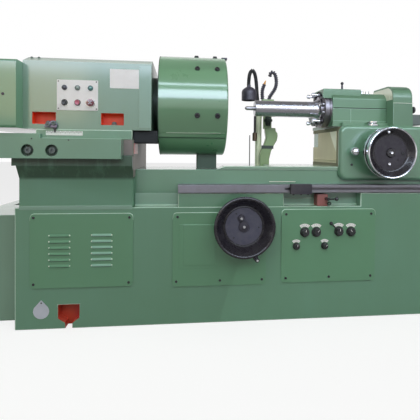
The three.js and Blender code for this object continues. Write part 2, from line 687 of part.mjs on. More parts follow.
function makeGrindingSpindle(parent) {
  const a = arbor;
  const d = drive;
  const profile = [
    [0, -a.tip], [a.radius, -a.tip], [a.radius, -quill.tip - overrun], [a.shaft, -quill.tip - overrun],
    [a.shaft, d.left], [d.spindleRadius, d.left], [d.spindleRadius, d.left + d.width],
    [a.shaft, d.left + d.width], [a.shaft, a.right], [0, a.right],
  ];
  piece('grinding_spindle', turned('x', profile, [axisDepth, axisHeight]), steel, parent);
}

// A motor: barrel, end bell and two feet, with a socket for the shaft of its rotor.
function motorBody(m, direction, floor) {
  const ends = direction > 0 ? [m.start, m.start + m.length] : [m.start - m.length, m.start];
  const [shaftEnd] = direction > 0 ? [ends[1]] : [ends[0]];
  const barrel = drum('x', m.radius, ...ends, [m.y, m.z], facets.round);
  const feet = block(
    [ends[0] + m.foot, ends[1] - m.foot], [m.y - m.foot, m.y + m.foot], [floor, m.z - m.radius / 2],
  );
  const hole = direction > 0 ? [shaftEnd - m.socket, shaftEnd + overrun] : [shaftEnd - overrun,
      shaftEnd + m.socket];
  return cut(join(barrel, feet), drum('x', m.shaft + gap, ...hole, [m.y, m.z]));
}

function makeGrindingMotor(parent) {
  const low = slide.top + gap + wheelhead.slab;
  piece('grinding_motor', motorBody({ ...grindMotor, start: grindMotor.left }, 1, low), greyPaint, parent);
}

function makeGrindingPulley(parent) {
  const m = grindMotor;
  const start = m.left + m.length - m.socket + gap;
  const profile = [
    [0, start], [m.shaft, start], [m.shaft, drive.left], [drive.motorRadius, drive.left],
    [drive.motorRadius, drive.left + drive.width], [0, drive.left + drive.width],
  ];
  piece('grinding_motor_pulley', turned('x', profile, [m.y, m.z]), iron, parent);
}

function makeRightCover(parent) {
  const r = rightCover;
  const low = slide.top + gap;
  // Side outline, arched in front round the spindle pulley; it shrinks by the inset on every side.
  const outline = (inset, bottom) => {
    const back = r.front + r.depth - inset;
    const stepAt = r.front + r.fullDepth;
    const shape = new THREE.Shape();
    shape.moveTo(back, bottom);
    shape.lineTo(back, r.top - r.rearDrop - inset);
    shape.lineTo(stepAt + r.slope - inset, r.top - r.rearDrop - inset);
    shape.lineTo(stepAt - inset, r.top - inset);
    shape.absarc(r.front + r.arch, r.top - r.arch, r.arch - inset, Math.PI / 2, Math.PI);
    shape.lineTo(r.front + inset, bottom);
    return shape;
  };
  const whole = prism('x', outline(0, low), r.left, r.right);
  const inside = prism('x', outline(sheet, low - overrun), r.left + sheet, r.right - sheet);
  const spindleHole = drum(
    'x', cartridge.bore, r.left - overrun, r.left + sheet + overrun, [axisDepth, axisHeight],
  );
  const motorHole = drum(
    'x', grindMotor.shaft * 2, r.left - overrun, r.left + sheet + overrun, [grindMotor.y, grindMotor.z],
    facets.middle,
  );
  const knobStem = drum(
    'x', sideKnob.stem, r.right - sheet, r.right + sideKnob.length, [sideKnob.y, sideKnob.z],
    facets.small,
  );
  const knobHead = drum(
    'x', sideKnob.radius, r.right + sideKnob.length / 2, r.right + sideKnob.length,
    [sideKnob.y, sideKnob.z], facets.middle,
  );
  const box = block(
    [r.right - sheet, r.right + junction.length], [junction.front, junction.front + junction.depth],
    [junction.bottom, junction.bottom + junction.height],
  );
  piece(
    'right_belt_cover', join(cut(whole, inside, spindleHole, motorHole), knobStem, knobHead, box),
    paint, parent,
  );
}

// Work head: a hollow casting that swivels on the bridge, with pockets for its clamp bolts.
function makeHead(parent) {
  const ends = [-head.left, -head.right];
  const frontTop = headBottom + head.frontHeight;
  const outline = [
    [0, headBottom], [head.depth, headBottom], [head.depth, headTop], [head.bevel, headTop],
    [0, frontTop],
  ];
  const inner = [
    [head.wall, headBottom + head.wall], [head.depth - head.wall, headBottom + head.wall],
    [head.depth - head.wall, headTop - head.wall], [head.bevel, headTop - head.wall],
    [head.wall, frontTop - head.wall],
  ];
  const at = [axisDepth, axisHeight];
  let body = cut(
    prism('x', outline, ...ends), prism('x', inner, ends[0] + head.wall, ends[1] - head.wall),
  );
  const nearBoss = drum(
    'x', head.boss, ends[0] + head.wall - overrun, ends[0] + head.bossDepth, at, facets.round,
  );
  const farBoss = drum(
    'x', head.boss, ends[1] - head.bossDepth, ends[1] - head.wall + overrun, at, facets.round,
  );
  const front = block(
    [ends[1] - headCap.width, ends[1]], [-headCap.proud, overrun],
    [headBottom, frontTop - headCap.drop],
  );
  const m = workMotor;
  const shelfTop = headBottom + m.shelf;
  const shelf = block(
    [-m.left, -m.left + m.length], [head.depth - overrun, m.y + m.radius], [headBottom, shelfTop],
  );
  body = join(body, nearBoss, farBoss, front, shelf);
  for (const from of [pocket.first, pocket.second]) {
    const x = -head.left + from;
    const z = headBottom + pocket.bottom;
    const box = block(
      [x - pocket.wall, x + pocket.width + pocket.wall],
      [head.wall - overrun, pocket.depth + pocket.wall], [headBottom, z + pocket.height + pocket.wall],
    );
    const room = block([x, x + pocket.width], [-overrun, pocket.depth], [z, z + pocket.height]);
    body = cut(join(body, box), room);
  }
  const shaftHole = drum(
    'x', workSpindle.radius + spinGap, ends[0] - overrun, ends[1] + overrun, at, facets.large,
  );
  const pinHole = drum(
    'z', swivel.pivot + spinGap, headBottom - overrun, headBottom + head.wall + overrun,
    [-swivel.x, axisDepth],
  );
  const ventLeft = ends[0] + vent.from;
  const ventHole = block(
    [ventLeft, ventLeft + vent.size], [vent.front, vent.front + vent.size],
    [headBottom - overrun, headBottom + head.wall + overrun],
  );
  const windowLeft = ends[0] + rearWindow.from;
  const windowLow = headBottom + rearWindow.bottom;
  const opening = prism(
    'y',
    rounded(
      [windowLeft, windowLeft + rearWindow.width], [windowLow, windowLow + rearWindow.height],
      rearWindow.corner,
    ),
    head.depth - head.wall - overrun, head.depth + overrun,
  );
  const wells = [0, 1, 2].map((i) => drum(
    'y', button.stem + gap, -overrun, button.travel + overrun, buttonPlace(i), facets.small,
  ));
  piece('headstock_casting', cut(body, shaftHole, pinHole, ventHole, opening, ...wells), paint, parent);
  piece('work_motor', motorBody({ ...m, start: -m.left + m.length }, -1, shelfTop), greyPaint, parent);
}

function makeLeftCover(parent) {
  const c = leftCover;
  const right = -head.left - gap;
  const left = right - c.width;
  const low = headBottom;
  const outline = rounded([-c.front, -c.front + c.depth], [low, low + c.height], c.corner);
  const inside = block(
    [left + sheet, right - sheet], [-c.front + c.corner, -c.front + c.depth - c.corner],
    [low + sheet, low + c.height - sheet],
  );
  const mouth = block(
    [right - sheet - overrun, right + overrun], [c.open, c.open + c.openDepth],
    [low + c.open, low + c.height - c.open],
  );
  const shaftHole = drum(
    'x', workMotor.shaft * 2, right - sheet - overrun, right + overrun, [workMotor.y, workMotor.z],
    facets.middle,
  );
  piece(
    'left_belt_cover', cut(prism('x', outline, left, right), inside, mouth, shaftHole), paint, parent,
  );
}

function makeWorkSpindle(parent) {
  const s = workSpindle;
  const p = workPulley;
  const at = [axisDepth, axisHeight];
  const chuckBack = -chuck.right - chuck.width;
  const profile = [
    [0, -s.left], [s.radius, -s.left], [s.radius, -p.left], [p.radius, -p.left],
    [p.radius, -p.left + p.width], [s.radius, -p.left + p.width], [s.radius, -s.noseLeft],
    [s.nose, -s.noseLeft], [s.nose, chuckBack - gap], [0, chuckBack - gap],
  ];
  piece('work_spindle', turned('x', profile, at, facets.large), steel, parent);
  let body = ring('x', chuck.radius, chuck.bore, chuckBack, -chuck.right, at, facets.large);
  for (let i = 0; i < jawCount; i += 1) body = cut(body, chuckSlot(i));
  piece('chuck_body', body, steel, parent);
}

// A radial slot in the chuck's face, turned to its jaw's place.
function chuckSlot(i) {
  const channel = block(
    [-chuck.right - chuck.slotDepth, -chuck.right + overrun], [-chuck.slot / 2, chuck.slot / 2],
    [chuck.bore - overrun, chuck.radius + overrun],
  );
  return channel.rotate([360 / jawCount * i, 0, 0]).translate(0, axisDepth, axisHeight);
}

function makeJaw(i, parent) {
  const j = jaw;
  const half = chuck.slot / 2 - gap;
  const back = -chuck.right - chuck.slotDepth + gap;
  const outline = [
    [back, j.inner], [-chuck.right + j.proud, j.inner], [-chuck.right + j.proud, j.inner + j.step],
    [-chuck.right + j.stepRise, j.inner + j.step], [-chuck.right + j.stepRise, j.inner + j.length],
    [back, j.inner + j.length],
  ];
  const body = prism('y', outline, -half, half).rotate([360 / jawCount * i, 0, 0]);
  piece(`chuck_jaw_${i + 1}`, body.translate(0, axisDepth, axisHeight), steel, parent);
}

function makeWorkPulley(parent) {
  const m = workMotor;
  const p = workPulley;
  const end = -m.left + m.socket - gap;
  const profile = [
    [0, -p.left], [p.motorRadius, -p.left], [p.motorRadius, -p.left + p.width],
    [m.shaft, -p.left + p.width], [m.shaft, end], [0, end],
  ];
  piece('work_motor_pulley', turned('x', profile, [m.y, m.z]), iron, parent);
}

// Drum guard: a trough with the back plate and spout, and a hood that swings back on its hinge.
function guardShell(left) {
  const g = guard;
  const at = [axisDepth, axisHeight];
  const shell = ring('x', g.radius, g.radius - sheet, left, -g.right, at, facets.drum);
  return join(shell, ring('x', g.radius, g.mouth, -g.right - sheet, -g.right, at, facets.drum));
}

function hingePlace() {
  return [axisDepth + Math.sqrt(guard.radius ** 2 - guard.split ** 2) + hinge.out, splitHeight];
}

function makeGuard(parent) {
  const g = guard;
  const at = [axisDepth, axisHeight];
  const far = 2 * g.radius;
  const below = block(
    [-far - g.left, far], [axisDepth - far, axisDepth + far], [axisHeight - far, splitHeight - gap / 2],
  );
  const backPlate = ring('x', g.radius, g.hubBore, -g.left, -g.left + sheet, at, facets.drum);
  const hub = ring('x', g.hub, g.hubBore, -g.gapLeft + gap, -g.left + sheet, at, facets.large);
  const y0 = axisDepth - spout.depth / 2;
  const x0 = -spout.from;
  const chute = block(
    [x0, x0 + spout.width], [y0, y0 + spout.depth], [spout.bottom, axisHeight - g.radius + 2 * sheet],
  );
  const chuteIn = block(
    [x0 + sheet, x0 + spout.width - sheet], [y0 + sheet, y0 + spout.depth - sheet],
    [spout.bottom - overrun, axisHeight - g.radius + 3 * sheet],
  );
  const b = bracket;
  const arm = block([-b.left, -b.right], [b.front, b.front + b.depth], [b.bottom, headBottom - gap]);
  const armWeb = block(
    [-b.right - sheet, -g.left + sheet], [b.front, b.front + b.depth],
    [b.bottom, splitHeight - 2 * sheet],
  );
  const trough = join(
    guardShell(-g.left).intersect(below), backPlate, hub, chute,
    cut(join(arm, armWeb), drum('x', g.radius - sheet, -g.left + gap, 0, at, facets.drum)),
  );
  const pin = drum('x', hinge.pin, -g.left, -g.right, hingePlace(), facets.small);
  const [hy, hz] = hingePlace();
  const leaf = block(
    [-g.left, -g.left + hinge.knuckle], [hy - hinge.out - hinge.leaf, hy],
    [hz - hinge.radius, hz - sheet],
  );
  const near = drum('x', hinge.radius, -g.left, -g.left + hinge.knuckle, hingePlace(), facets.small);
  const leafFar = leaf.translate(g.left - g.right - hinge.knuckle, 0, 0);
  const farKnuckle = near.translate(g.left - g.right - hinge.knuckle, 0, 0);
  piece(
    'guard_trough', cut(join(trough, pin, near, farKnuckle, leaf, leafFar), chuteIn), paint, parent,
  );
}

function makeHood(parent) {
  const g = guard;
  const far = 2 * g.radius;
  const above = block(
    [-far - g.left, far], [axisDepth - far, axisDepth + far], [splitHeight + gap / 2, axisHeight + far],
  );
  const [hy, hz] = hingePlace();
  const ends = [-g.left + hinge.knuckle + gap, -g.right - hinge.knuckle - gap];
  const barrel = drum('x', hinge.radius, ...ends, hingePlace(), facets.small);
  const leaf = block(ends, [hy - hinge.out + 2 * gap, hy], [hz + sheet, hz + hinge.radius]);
  const bore = drum(
    'x', hinge.pin + gap, ends[0] - overrun, ends[1] + overrun, hingePlace(), facets.small,
  );
  const shell = guardShell(-g.left + sheet + gap).intersect(above);
  piece('guard_hood', cut(join(shell, barrel, leaf), bore), paint, parent);
}

// Control plate on the head's front, with three lamps, two push buttons and a mushroom button.
function plateCorner() {
  return [-head.left + controlPlate.from, headBottom + controlPlate.bottom];
}

function buttonPlace(i) {
  const [x, z] = plateCorner();
  return [x + button.first + i * button.pitch, z + button.row];
}

function makeControls(parent) {
  const [x, z] = plateCorner();
  let body = block([x, x + controlPlate.width], [-controlPlate.thick, 0], [z, z + controlPlate.height]);
  for (let i = 0; i < 3; i += 1) {
    const [bx, bz] = buttonPlace(i);
    const lampAt = [bx, z + controlPlate.height - button.row];
    body = join(
      body,
      drum(
        'y', button.radius, -controlPlate.thick - button.travel, -controlPlate.thick + gap, lampAt,
        facets.small,
      ),
    );
    body = cut(
      body,
      drum('y', button.stem + gap, -controlPlate.thick - overrun, overrun, [bx, bz], facets.small),
    );
  }
  piece('control_plate', body, whitePlate, parent);
}

function makeButton(name, i, finish, parent) {
  const at = buttonPlace(i);
  const radius = i === 2 ? button.mushroom : button.radius;
  const front = -controlPlate.thick - button.travel - gap;
  const capBody = drum('y', radius, front - button.proud / 2, front, at, facets.middle);
  const stem = drum('y', button.stem, front - overrun / 2, -gap, at, facets.small);
  piece(name, join(capBody, stem), finish, parent);
}

// Pointer block over the swivel scale, with two hexagon screws in its face.
function makePointer(parent) {
  const p = pointer;
  let body = block([-p.left, -p.left + p.width], [-p.depth, 0], [p.bottom, p.bottom + p.height]);
  for (const x of [-p.left + p.inset, -p.left + p.width - p.inset]) {
    body = join(
      body, drum('y', p.screw, -p.depth - p.proud, -p.depth + gap, [x, p.bottom + p.level], 6),
    );
  }
  piece('swivel_pointer', body, steel, parent);
}

// Handwheel of the table: a dished wheel whose crank grip turns on a pin in the rim's lug.
function gripPlace() {
  const angle = THREE.MathUtils.degToRad(gripAngle);
  const reach = tableWheel.radius + grip.lug / 3;
  return [-tableWheel.x + reach * Math.cos(angle), tableWheel.z + reach * Math.sin(angle)];
}

function makeTableWheel(parent) {
  const w = tableWheel;
  const rimRadius = w.radius - w.rim;
  const rimPoints = [];
  for (const degrees of [150, 100, 50, 0, -50, -100, -150]) {
    const angle = THREE.MathUtils.degToRad(degrees);
    rimPoints.push([rimRadius + w.rim * Math.cos(angle), -w.rimY + w.rim * Math.sin(angle)]);
  }
  const back = bed.wall + w.back;
  const face = -cover.thick - w.back;
  const profile = [
    [0, back], [w.shaft, back], [w.shaft, face], [w.hub, face], [w.hub, -w.floor + w.web],
    [w.floorRadius, -w.floor + w.web], ...rimPoints, [w.floorRadius - w.web, -w.floor],
    [w.hub, -w.floor], [w.hub - w.rim, -w.floor - w.rim], [0, -w.floor - w.rim],
  ];
  const lugFront = -w.rimY - grip.lugDepth / 2;
  const at = gripPlace();
  const lug = drum('y', grip.lug, lugFront, lugFront + grip.lugDepth, at, facets.middle);
  const pinEnd = lugFront - grip.length - 2 * gap;
  const pin = drum('y', grip.pin, pinEnd - overrun / 2, lugFront + overrun, at, facets.small);
  const headDisc = drum('y', grip.head, pinEnd - grip.headLength, pinEnd, at, facets.middle);
  piece(
    'table_handwheel', join(turned('y', profile, [-w.x, w.z], facets.large), lug, pin, headDisc),
    blackGloss, parent,
  );
}

function makeGrip(parent) {
  const front = -tableWheel.rimY - grip.lugDepth / 2 - gap;
  const bore = grip.pin + gap;
  const profile = [
    [bore, front], [grip.root, front], [grip.radius, front - grip.swellAt],
    [grip.radius, front - grip.bellyAt], [grip.tail, front - grip.length], [bore, front - grip.length],
  ];
  piece('table_handwheel_grip', turned('y', profile, gripPlace(), facets.middle), blackGloss, parent);
}

// Knobs of the hydraulic panel; one carries a lever, and the two lower ones are smaller.
function makeKnob(i, parent) {
  const at = knobPlaces[i];
  const radius = i >= lowKnob ? knob.lowRadius : knob.radius;
  const front = -cover.thick - gap;
  const profile = [
    [0, bed.wall / 2], [knob.shaft, bed.wall / 2], [knob.shaft, front],
    [radius + knob.skirt - knob.radius, front],
    [radius + knob.skirt - knob.radius, front - knob.skirtLength],
    [radius * knob.neck, front - knob.skirtLength], [radius * knob.crown, front - knob.length],
    [0, front - knob.length],
  ];
  let body = turned('y', profile, at, facets.middle);
  if (i === leverKnob) {
    const y = front - knob.length / 1.5;
    const end = [at[0] + knobLever.dx, y - knobLever.out, at[1] + knobLever.dz];
    body = join(
      body, bar([[at[0], y, at[1]], end], knobLever.rod, 1), ball(knobLever.ball, end, facets.small),
    );
  }
  piece(`hydraulic_knob_${i + 1}`, body, blackGloss, parent);
}

// Reversing valve in the bed's front recess, and the lever that the dogs throw.
function makeReversing(parent) {
  const x = bedLeft + valve.from;
  const box = block(
    [x, x + valve.width], [valve.front, valve.front + valve.depth], [bedTop, bedTop + valve.height],
  );
  const hole = drum(
    'y', lever.boss + gap, valve.front - overrun, valve.front + valve.depth / 2, [lever.x, lever.z],
    facets.middle,
  );
  const stud = drum(
    'y', lever.boss, valve.front - 2 * lever.boss, valve.front + overrun,
    [lever.x, bedTop + valve.height / 4], facets.small,
  );
  piece('reversing_valve', join(cut(box, hole), stud), pink, parent);
}

function makeReversingLever(parent) {
  const l = lever;
  const pivot = drum(
    'y', l.boss, -l.reach, valve.front + valve.depth / 2 - gap, [l.x, l.z], facets.small,
  );
  const end = [l.x + l.dx, -l.reach - l.dy, l.z + l.dz];
  const arm = bar([[l.x, -l.reach + l.boss, l.z], end], l.rod, 1);
  piece('reversing_lever', join(pivot, arm, ball(l.ball, end, facets.small)), blackGloss, parent);
}

// Coolant stand behind the table: a cast arm with its valve and manifold.
function makeStand(parent) {
  const s = stand;
  const x = -s.x;
  const half = s.width / 2;
  const outline = [
    [x - half, bedTop], [x + half, bedTop], [x + half, bedTop + s.bend],
    [x + half + s.shift, bedTop + s.bendEnd], [x + half + s.shift, bedTop + s.top],
    [x - half + s.shift, bedTop + s.top], [x - half + s.shift, bedTop + s.bendEnd],
    [x - half, bedTop + s.bend],
  ];
  const sides = [s.y - s.depth / 2, s.y + s.depth / 2];
  const arm = prism('y', outline, ...sides);
  const middle = x + s.shift / 2;
  const column = block(
    [middle - s.valveWidth / 2, middle + s.valveWidth / 2],
    [s.y - manifold.depth / 2, s.y + manifold.depth / 2],
    [bedTop + s.top - overrun, manifold.bottom + overrun],
  );
  const block2 = block(
    [middle - manifold.width / 2, middle + manifold.width / 2],
    [s.y - manifold.depth / 2, s.y + manifold.depth / 2],
    [manifold.bottom, manifold.bottom + manifold.height],
  );
  piece('coolant_stand', join(arm, column, block2), paint, parent);
}

// A ribbed hose along a path: rings of eight points that swell at each rib, round an open bore.
function ribbedHose(points, ribs) {
  const path = new THREE.CatmullRomCurve3(
    points.map((p) => new THREE.Vector3(...p)), false, 'centripetal',
  );
  const sides = 8;
  const boreStep = 5;
  const rings = [];
  for (let i = 0; i <= 2 * ribs; i += 1) {
    rings.push({ share: i / (2 * ribs), radius: i % 2 ? hose.radius : hose.neck });
  }
  const inner = rings
    .filter((r, i) => i % (2 * boreStep) === 0 || i === 2 * ribs)
    .map((r) => ({ ...r, radius: hose.bore }));
  const loop = [...rings, ...inner.reverse()];
  const frames = path.computeFrenetFrames(2 * ribs, false);
  const positions = [];
  for (const { share, radius } of loop) {
    const i = Math.round(share * 2 * ribs);
    const centreAt = path.getPointAt(share);
    for (let k = 0; k < sides; k += 1) {
      const angle = 2 * Math.PI * k / sides;
      const out = frames.normals[i].clone().multiplyScalar(Math.cos(angle) * radius)
        .add(frames.binormals[i].clone().multiplyScalar(Math.sin(angle) * radius));
      positions.push(...centreAt.clone().add(out).toArray());
    }
  }
  const faces = [];
  for (let i = 0; i < loop.length; i += 1) {
    const next = (i + 1) % loop.length;
    for (let k = 0; k < sides; k += 1) {
      const [a, b] = [i * sides + k, i * sides + (k + 1) % sides];
      const [c, d] = [next * sides + k, next * sides + (k + 1) % sides];
      faces.push(a, b, d, a, d, c);
    }
  }
  const geometry = new THREE.BufferGeometry();
  geometry.setAttribute('position', new THREE.BufferAttribute(Float32Array.from(positions), 3));
  geometry.setIndex(faces);
  return solid(geometry);
}

// Hose routes, in millimetres, from the manifold's top.
const leftHosePath = [
  [-110, 560, 1292.3], [-110, 560, 1310], [-112, 558, 1330], [-110, 555, 1360], [-101, 552, 1388],
];
const rightHosePath = [
  [-62, 560, 1292.3], [-62, 560, 1305], [-45, 558, 1332], [-24, 556, 1366], [-15, 555, 1400],
  [-16, 555, 1432], [-24, 555, 1462], [-38, 555, 1478], [-52, 555, 1474], [-58, 555, 1460],
];
const lampNeckPath = [
  [-126, 610, 1186], [-128, 608, 1240], [-140, 594, 1320], [-152, 575, 1420], [-165, 565, 1478],
  [-183, 560, 1500], [-200, 560, 1470], [-206, 560, 1410], [-206, 560, 1366],
];

function makeHoses(parent) {
  const count = (points) => {
    const path = new THREE.CatmullRomCurve3(points.map((p) => new THREE.Vector3(...p)));
    return Math.round(path.getLength() / hose.pitch);
  };
  const start = new THREE.Vector3(...leftHosePath.at(-1));
  const heading = start.clone().sub(new THREE.Vector3(...leftHosePath.at(-2))).normalize();
  const tipEnd = start.clone().add(heading.multiplyScalar(nozzle.length));
  const tip = new THREE.LatheGeometry(
    [
      [hose.bore, 0], [nozzle.radius, 0], [nozzle.radius, nozzle.length / 3],
      [nozzle.tip, nozzle.length], [nozzle.hole, nozzle.length], [hose.bore, 0],
    ].map(([r, s]) => new THREE.Vector2(r, s)),
    facets.small,
  );
  tip.applyQuaternion(new THREE.Quaternion().setFromUnitVectors(
    new THREE.Vector3(0, 1, 0), tipEnd.clone().sub(start).normalize(),
  ));
  tip.translate(...start.toArray());
  piece(
    'coolant_hose_left', join(ribbedHose(leftHosePath, count(leftHosePath)), solid(tip)), iron, parent,
  );
  piece('coolant_hose_right', ribbedHose(rightHosePath, count(rightHosePath)), iron, parent);
}

// Work lamp on its own post: a bent neck that ends in a cup.
function makeLamp(parent) {
  const l = lamp;
  const neckEnd = lampNeckPath.at(-1);
  const neck = bar(lampNeckPath, l.neck, 16, 6);
  const pole = drum('z', post.radius, bedTop, post.top, [-post.x, post.y], facets.small);
  const foot = drum('z', post.foot, bedTop, bedTop + post.footHeight, [-post.x, post.y], facets.middle);
  const cup = turned(
    'z',
    [
      [0, l.top], [l.radius / 2, l.top], [l.radius, l.top - l.length / 3], [l.radius, l.top - l.length],
      [l.radius - l.wall, l.top - l.length], [l.radius - l.wall, l.top - l.length / 3 - l.wall],
      [l.radius / 2 - l.wall, l.top - l.wall], [0, l.top - l.wall],
    ],
    [neckEnd[0] + l.wall, neckEnd[1]], facets.middle,
  );
  piece('work_lamp', join(pole, foot, neck, cup), darkPaint, parent);
}

// Assembly: each group holds the pieces that move together.
const fixed = group(machine);
makeBed(fixed);
makeWays(fixed);
makeCovers(fixed);
makeTank(fixed);
makeBridge(fixed);
makeSwivelBase(fixed);
makeCylinder(fixed);
makeReversing(fixed);
makeStand(fixed);
makeHoses(fixed);
makeLamp(fixed);
makeReversingLever(group(fixed));
for (let i = 0; i < knobPlaces.length; i += 1) makeKnob(i, group(fixed));
makeTableWheel(group(fixed));
makeGrip(group(fixed));

const tableGroup = group(machine);
makeTable(tableGroup);
makeRail(tableGroup);
makeDog('left_dog', dog.leftAt - dog.length / 2, group(tableGroup));
makeDog('right_dog', dog.rightAt, group(tableGroup));
makeCrossSlide(tableGroup);
makeCrossWheel(group(tableGroup));

const wheelheadGroup = group(tableGroup);
makeWheelhead(wheelheadGroup);
makeGrindingMotor(wheelheadGroup);
makeRightCover(wheelheadGroup);
makeGrindingSpindle(group(wheelheadGroup));
makeGrindingPulley(group(wheelheadGroup));

const headGroup = group(machine);
makeHead(headGroup);
makeLeftCover(headGroup);
makeControls(headGroup);
makeGuard(headGroup);
makeHood(group(headGroup));
makeWorkSpindle(group(headGroup));
for (let i = 0; i < jawCount; i += 1) makeJaw(i, group(headGroup));
makeWorkPulley(group(headGroup));
makePointer(headGroup);
makeButton('black_button', 0, blackGloss, group(headGroup));
makeButton('red_button', 1, red, group(headGroup));
makeButton('mushroom_button', 2, red, group(headGroup));

export default machine;
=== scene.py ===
"""Looks of an internal grinding machine: its castings, wheels, guards, fittings, finishes and light."""
import logging
import math
from dataclasses import dataclass
from enum import Enum
from typing import Callable, Iterable, Sequence

import bmesh
import bpy
from mathutils import Euler, Matrix, Vector


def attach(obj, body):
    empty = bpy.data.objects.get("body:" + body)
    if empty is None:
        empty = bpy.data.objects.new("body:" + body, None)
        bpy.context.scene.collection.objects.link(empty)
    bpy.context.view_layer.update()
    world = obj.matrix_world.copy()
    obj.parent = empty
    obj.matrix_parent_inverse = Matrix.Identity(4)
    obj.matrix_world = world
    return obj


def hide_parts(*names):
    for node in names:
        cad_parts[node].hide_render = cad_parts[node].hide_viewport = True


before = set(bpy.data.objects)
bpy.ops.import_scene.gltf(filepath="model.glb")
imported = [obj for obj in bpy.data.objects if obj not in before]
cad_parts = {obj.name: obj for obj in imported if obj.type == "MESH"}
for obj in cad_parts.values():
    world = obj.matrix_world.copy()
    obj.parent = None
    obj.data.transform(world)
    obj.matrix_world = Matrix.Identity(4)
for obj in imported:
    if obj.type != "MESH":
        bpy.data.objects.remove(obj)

Point = Sequence[float]
Pair = tuple[float, float]
Triple = tuple[float, float, float]
Sides = tuple[float, float, float, float]
Outline = list[Pair]
Piece = bpy.types.Object
Socket = bpy.types.NodeSocket
EdgeTest = Callable[[bmesh.types.BMEdge], bool]

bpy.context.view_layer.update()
LOG = logging.getLogger("grinder")
MERGE = 1e-6
NEAR = 1e-5
FRONT_FACE = -0.410
AXIS_Y = -0.111
AXIS_Z = 1.200


class Facing(Enum):
    """The way that the upright axis of a turned or cut-out piece points once it is mounted."""

    UP = (0.0, 0.0, 1.0)
    DOWN = (0.0, 0.0, -1.0)
    FRONT = (0.0, -1.0, 0.0)
    BACK = (0.0, 1.0, 0.0)
    LEFT = (-1.0, 0.0, 0.0)
    RIGHT = (1.0, 0.0, 0.0)

    def euler(self) -> Euler:
        """Give the turn from upright to this direction, with an outline's own up kept upright.

        Returns:
            The turn.
        """
        turns = {
            Facing.UP: (0, 0, 0),
            Facing.DOWN: (math.pi, 0, 0),
            Facing.FRONT: (math.pi / 2, 0, 0),
            Facing.BACK: (math.pi / 2, 0, math.pi),
            Facing.LEFT: (math.pi / 2, 0, -math.pi / 2),
            Facing.RIGHT: (math.pi / 2, 0, math.pi / 2),
        }
        return Euler(turns[self])


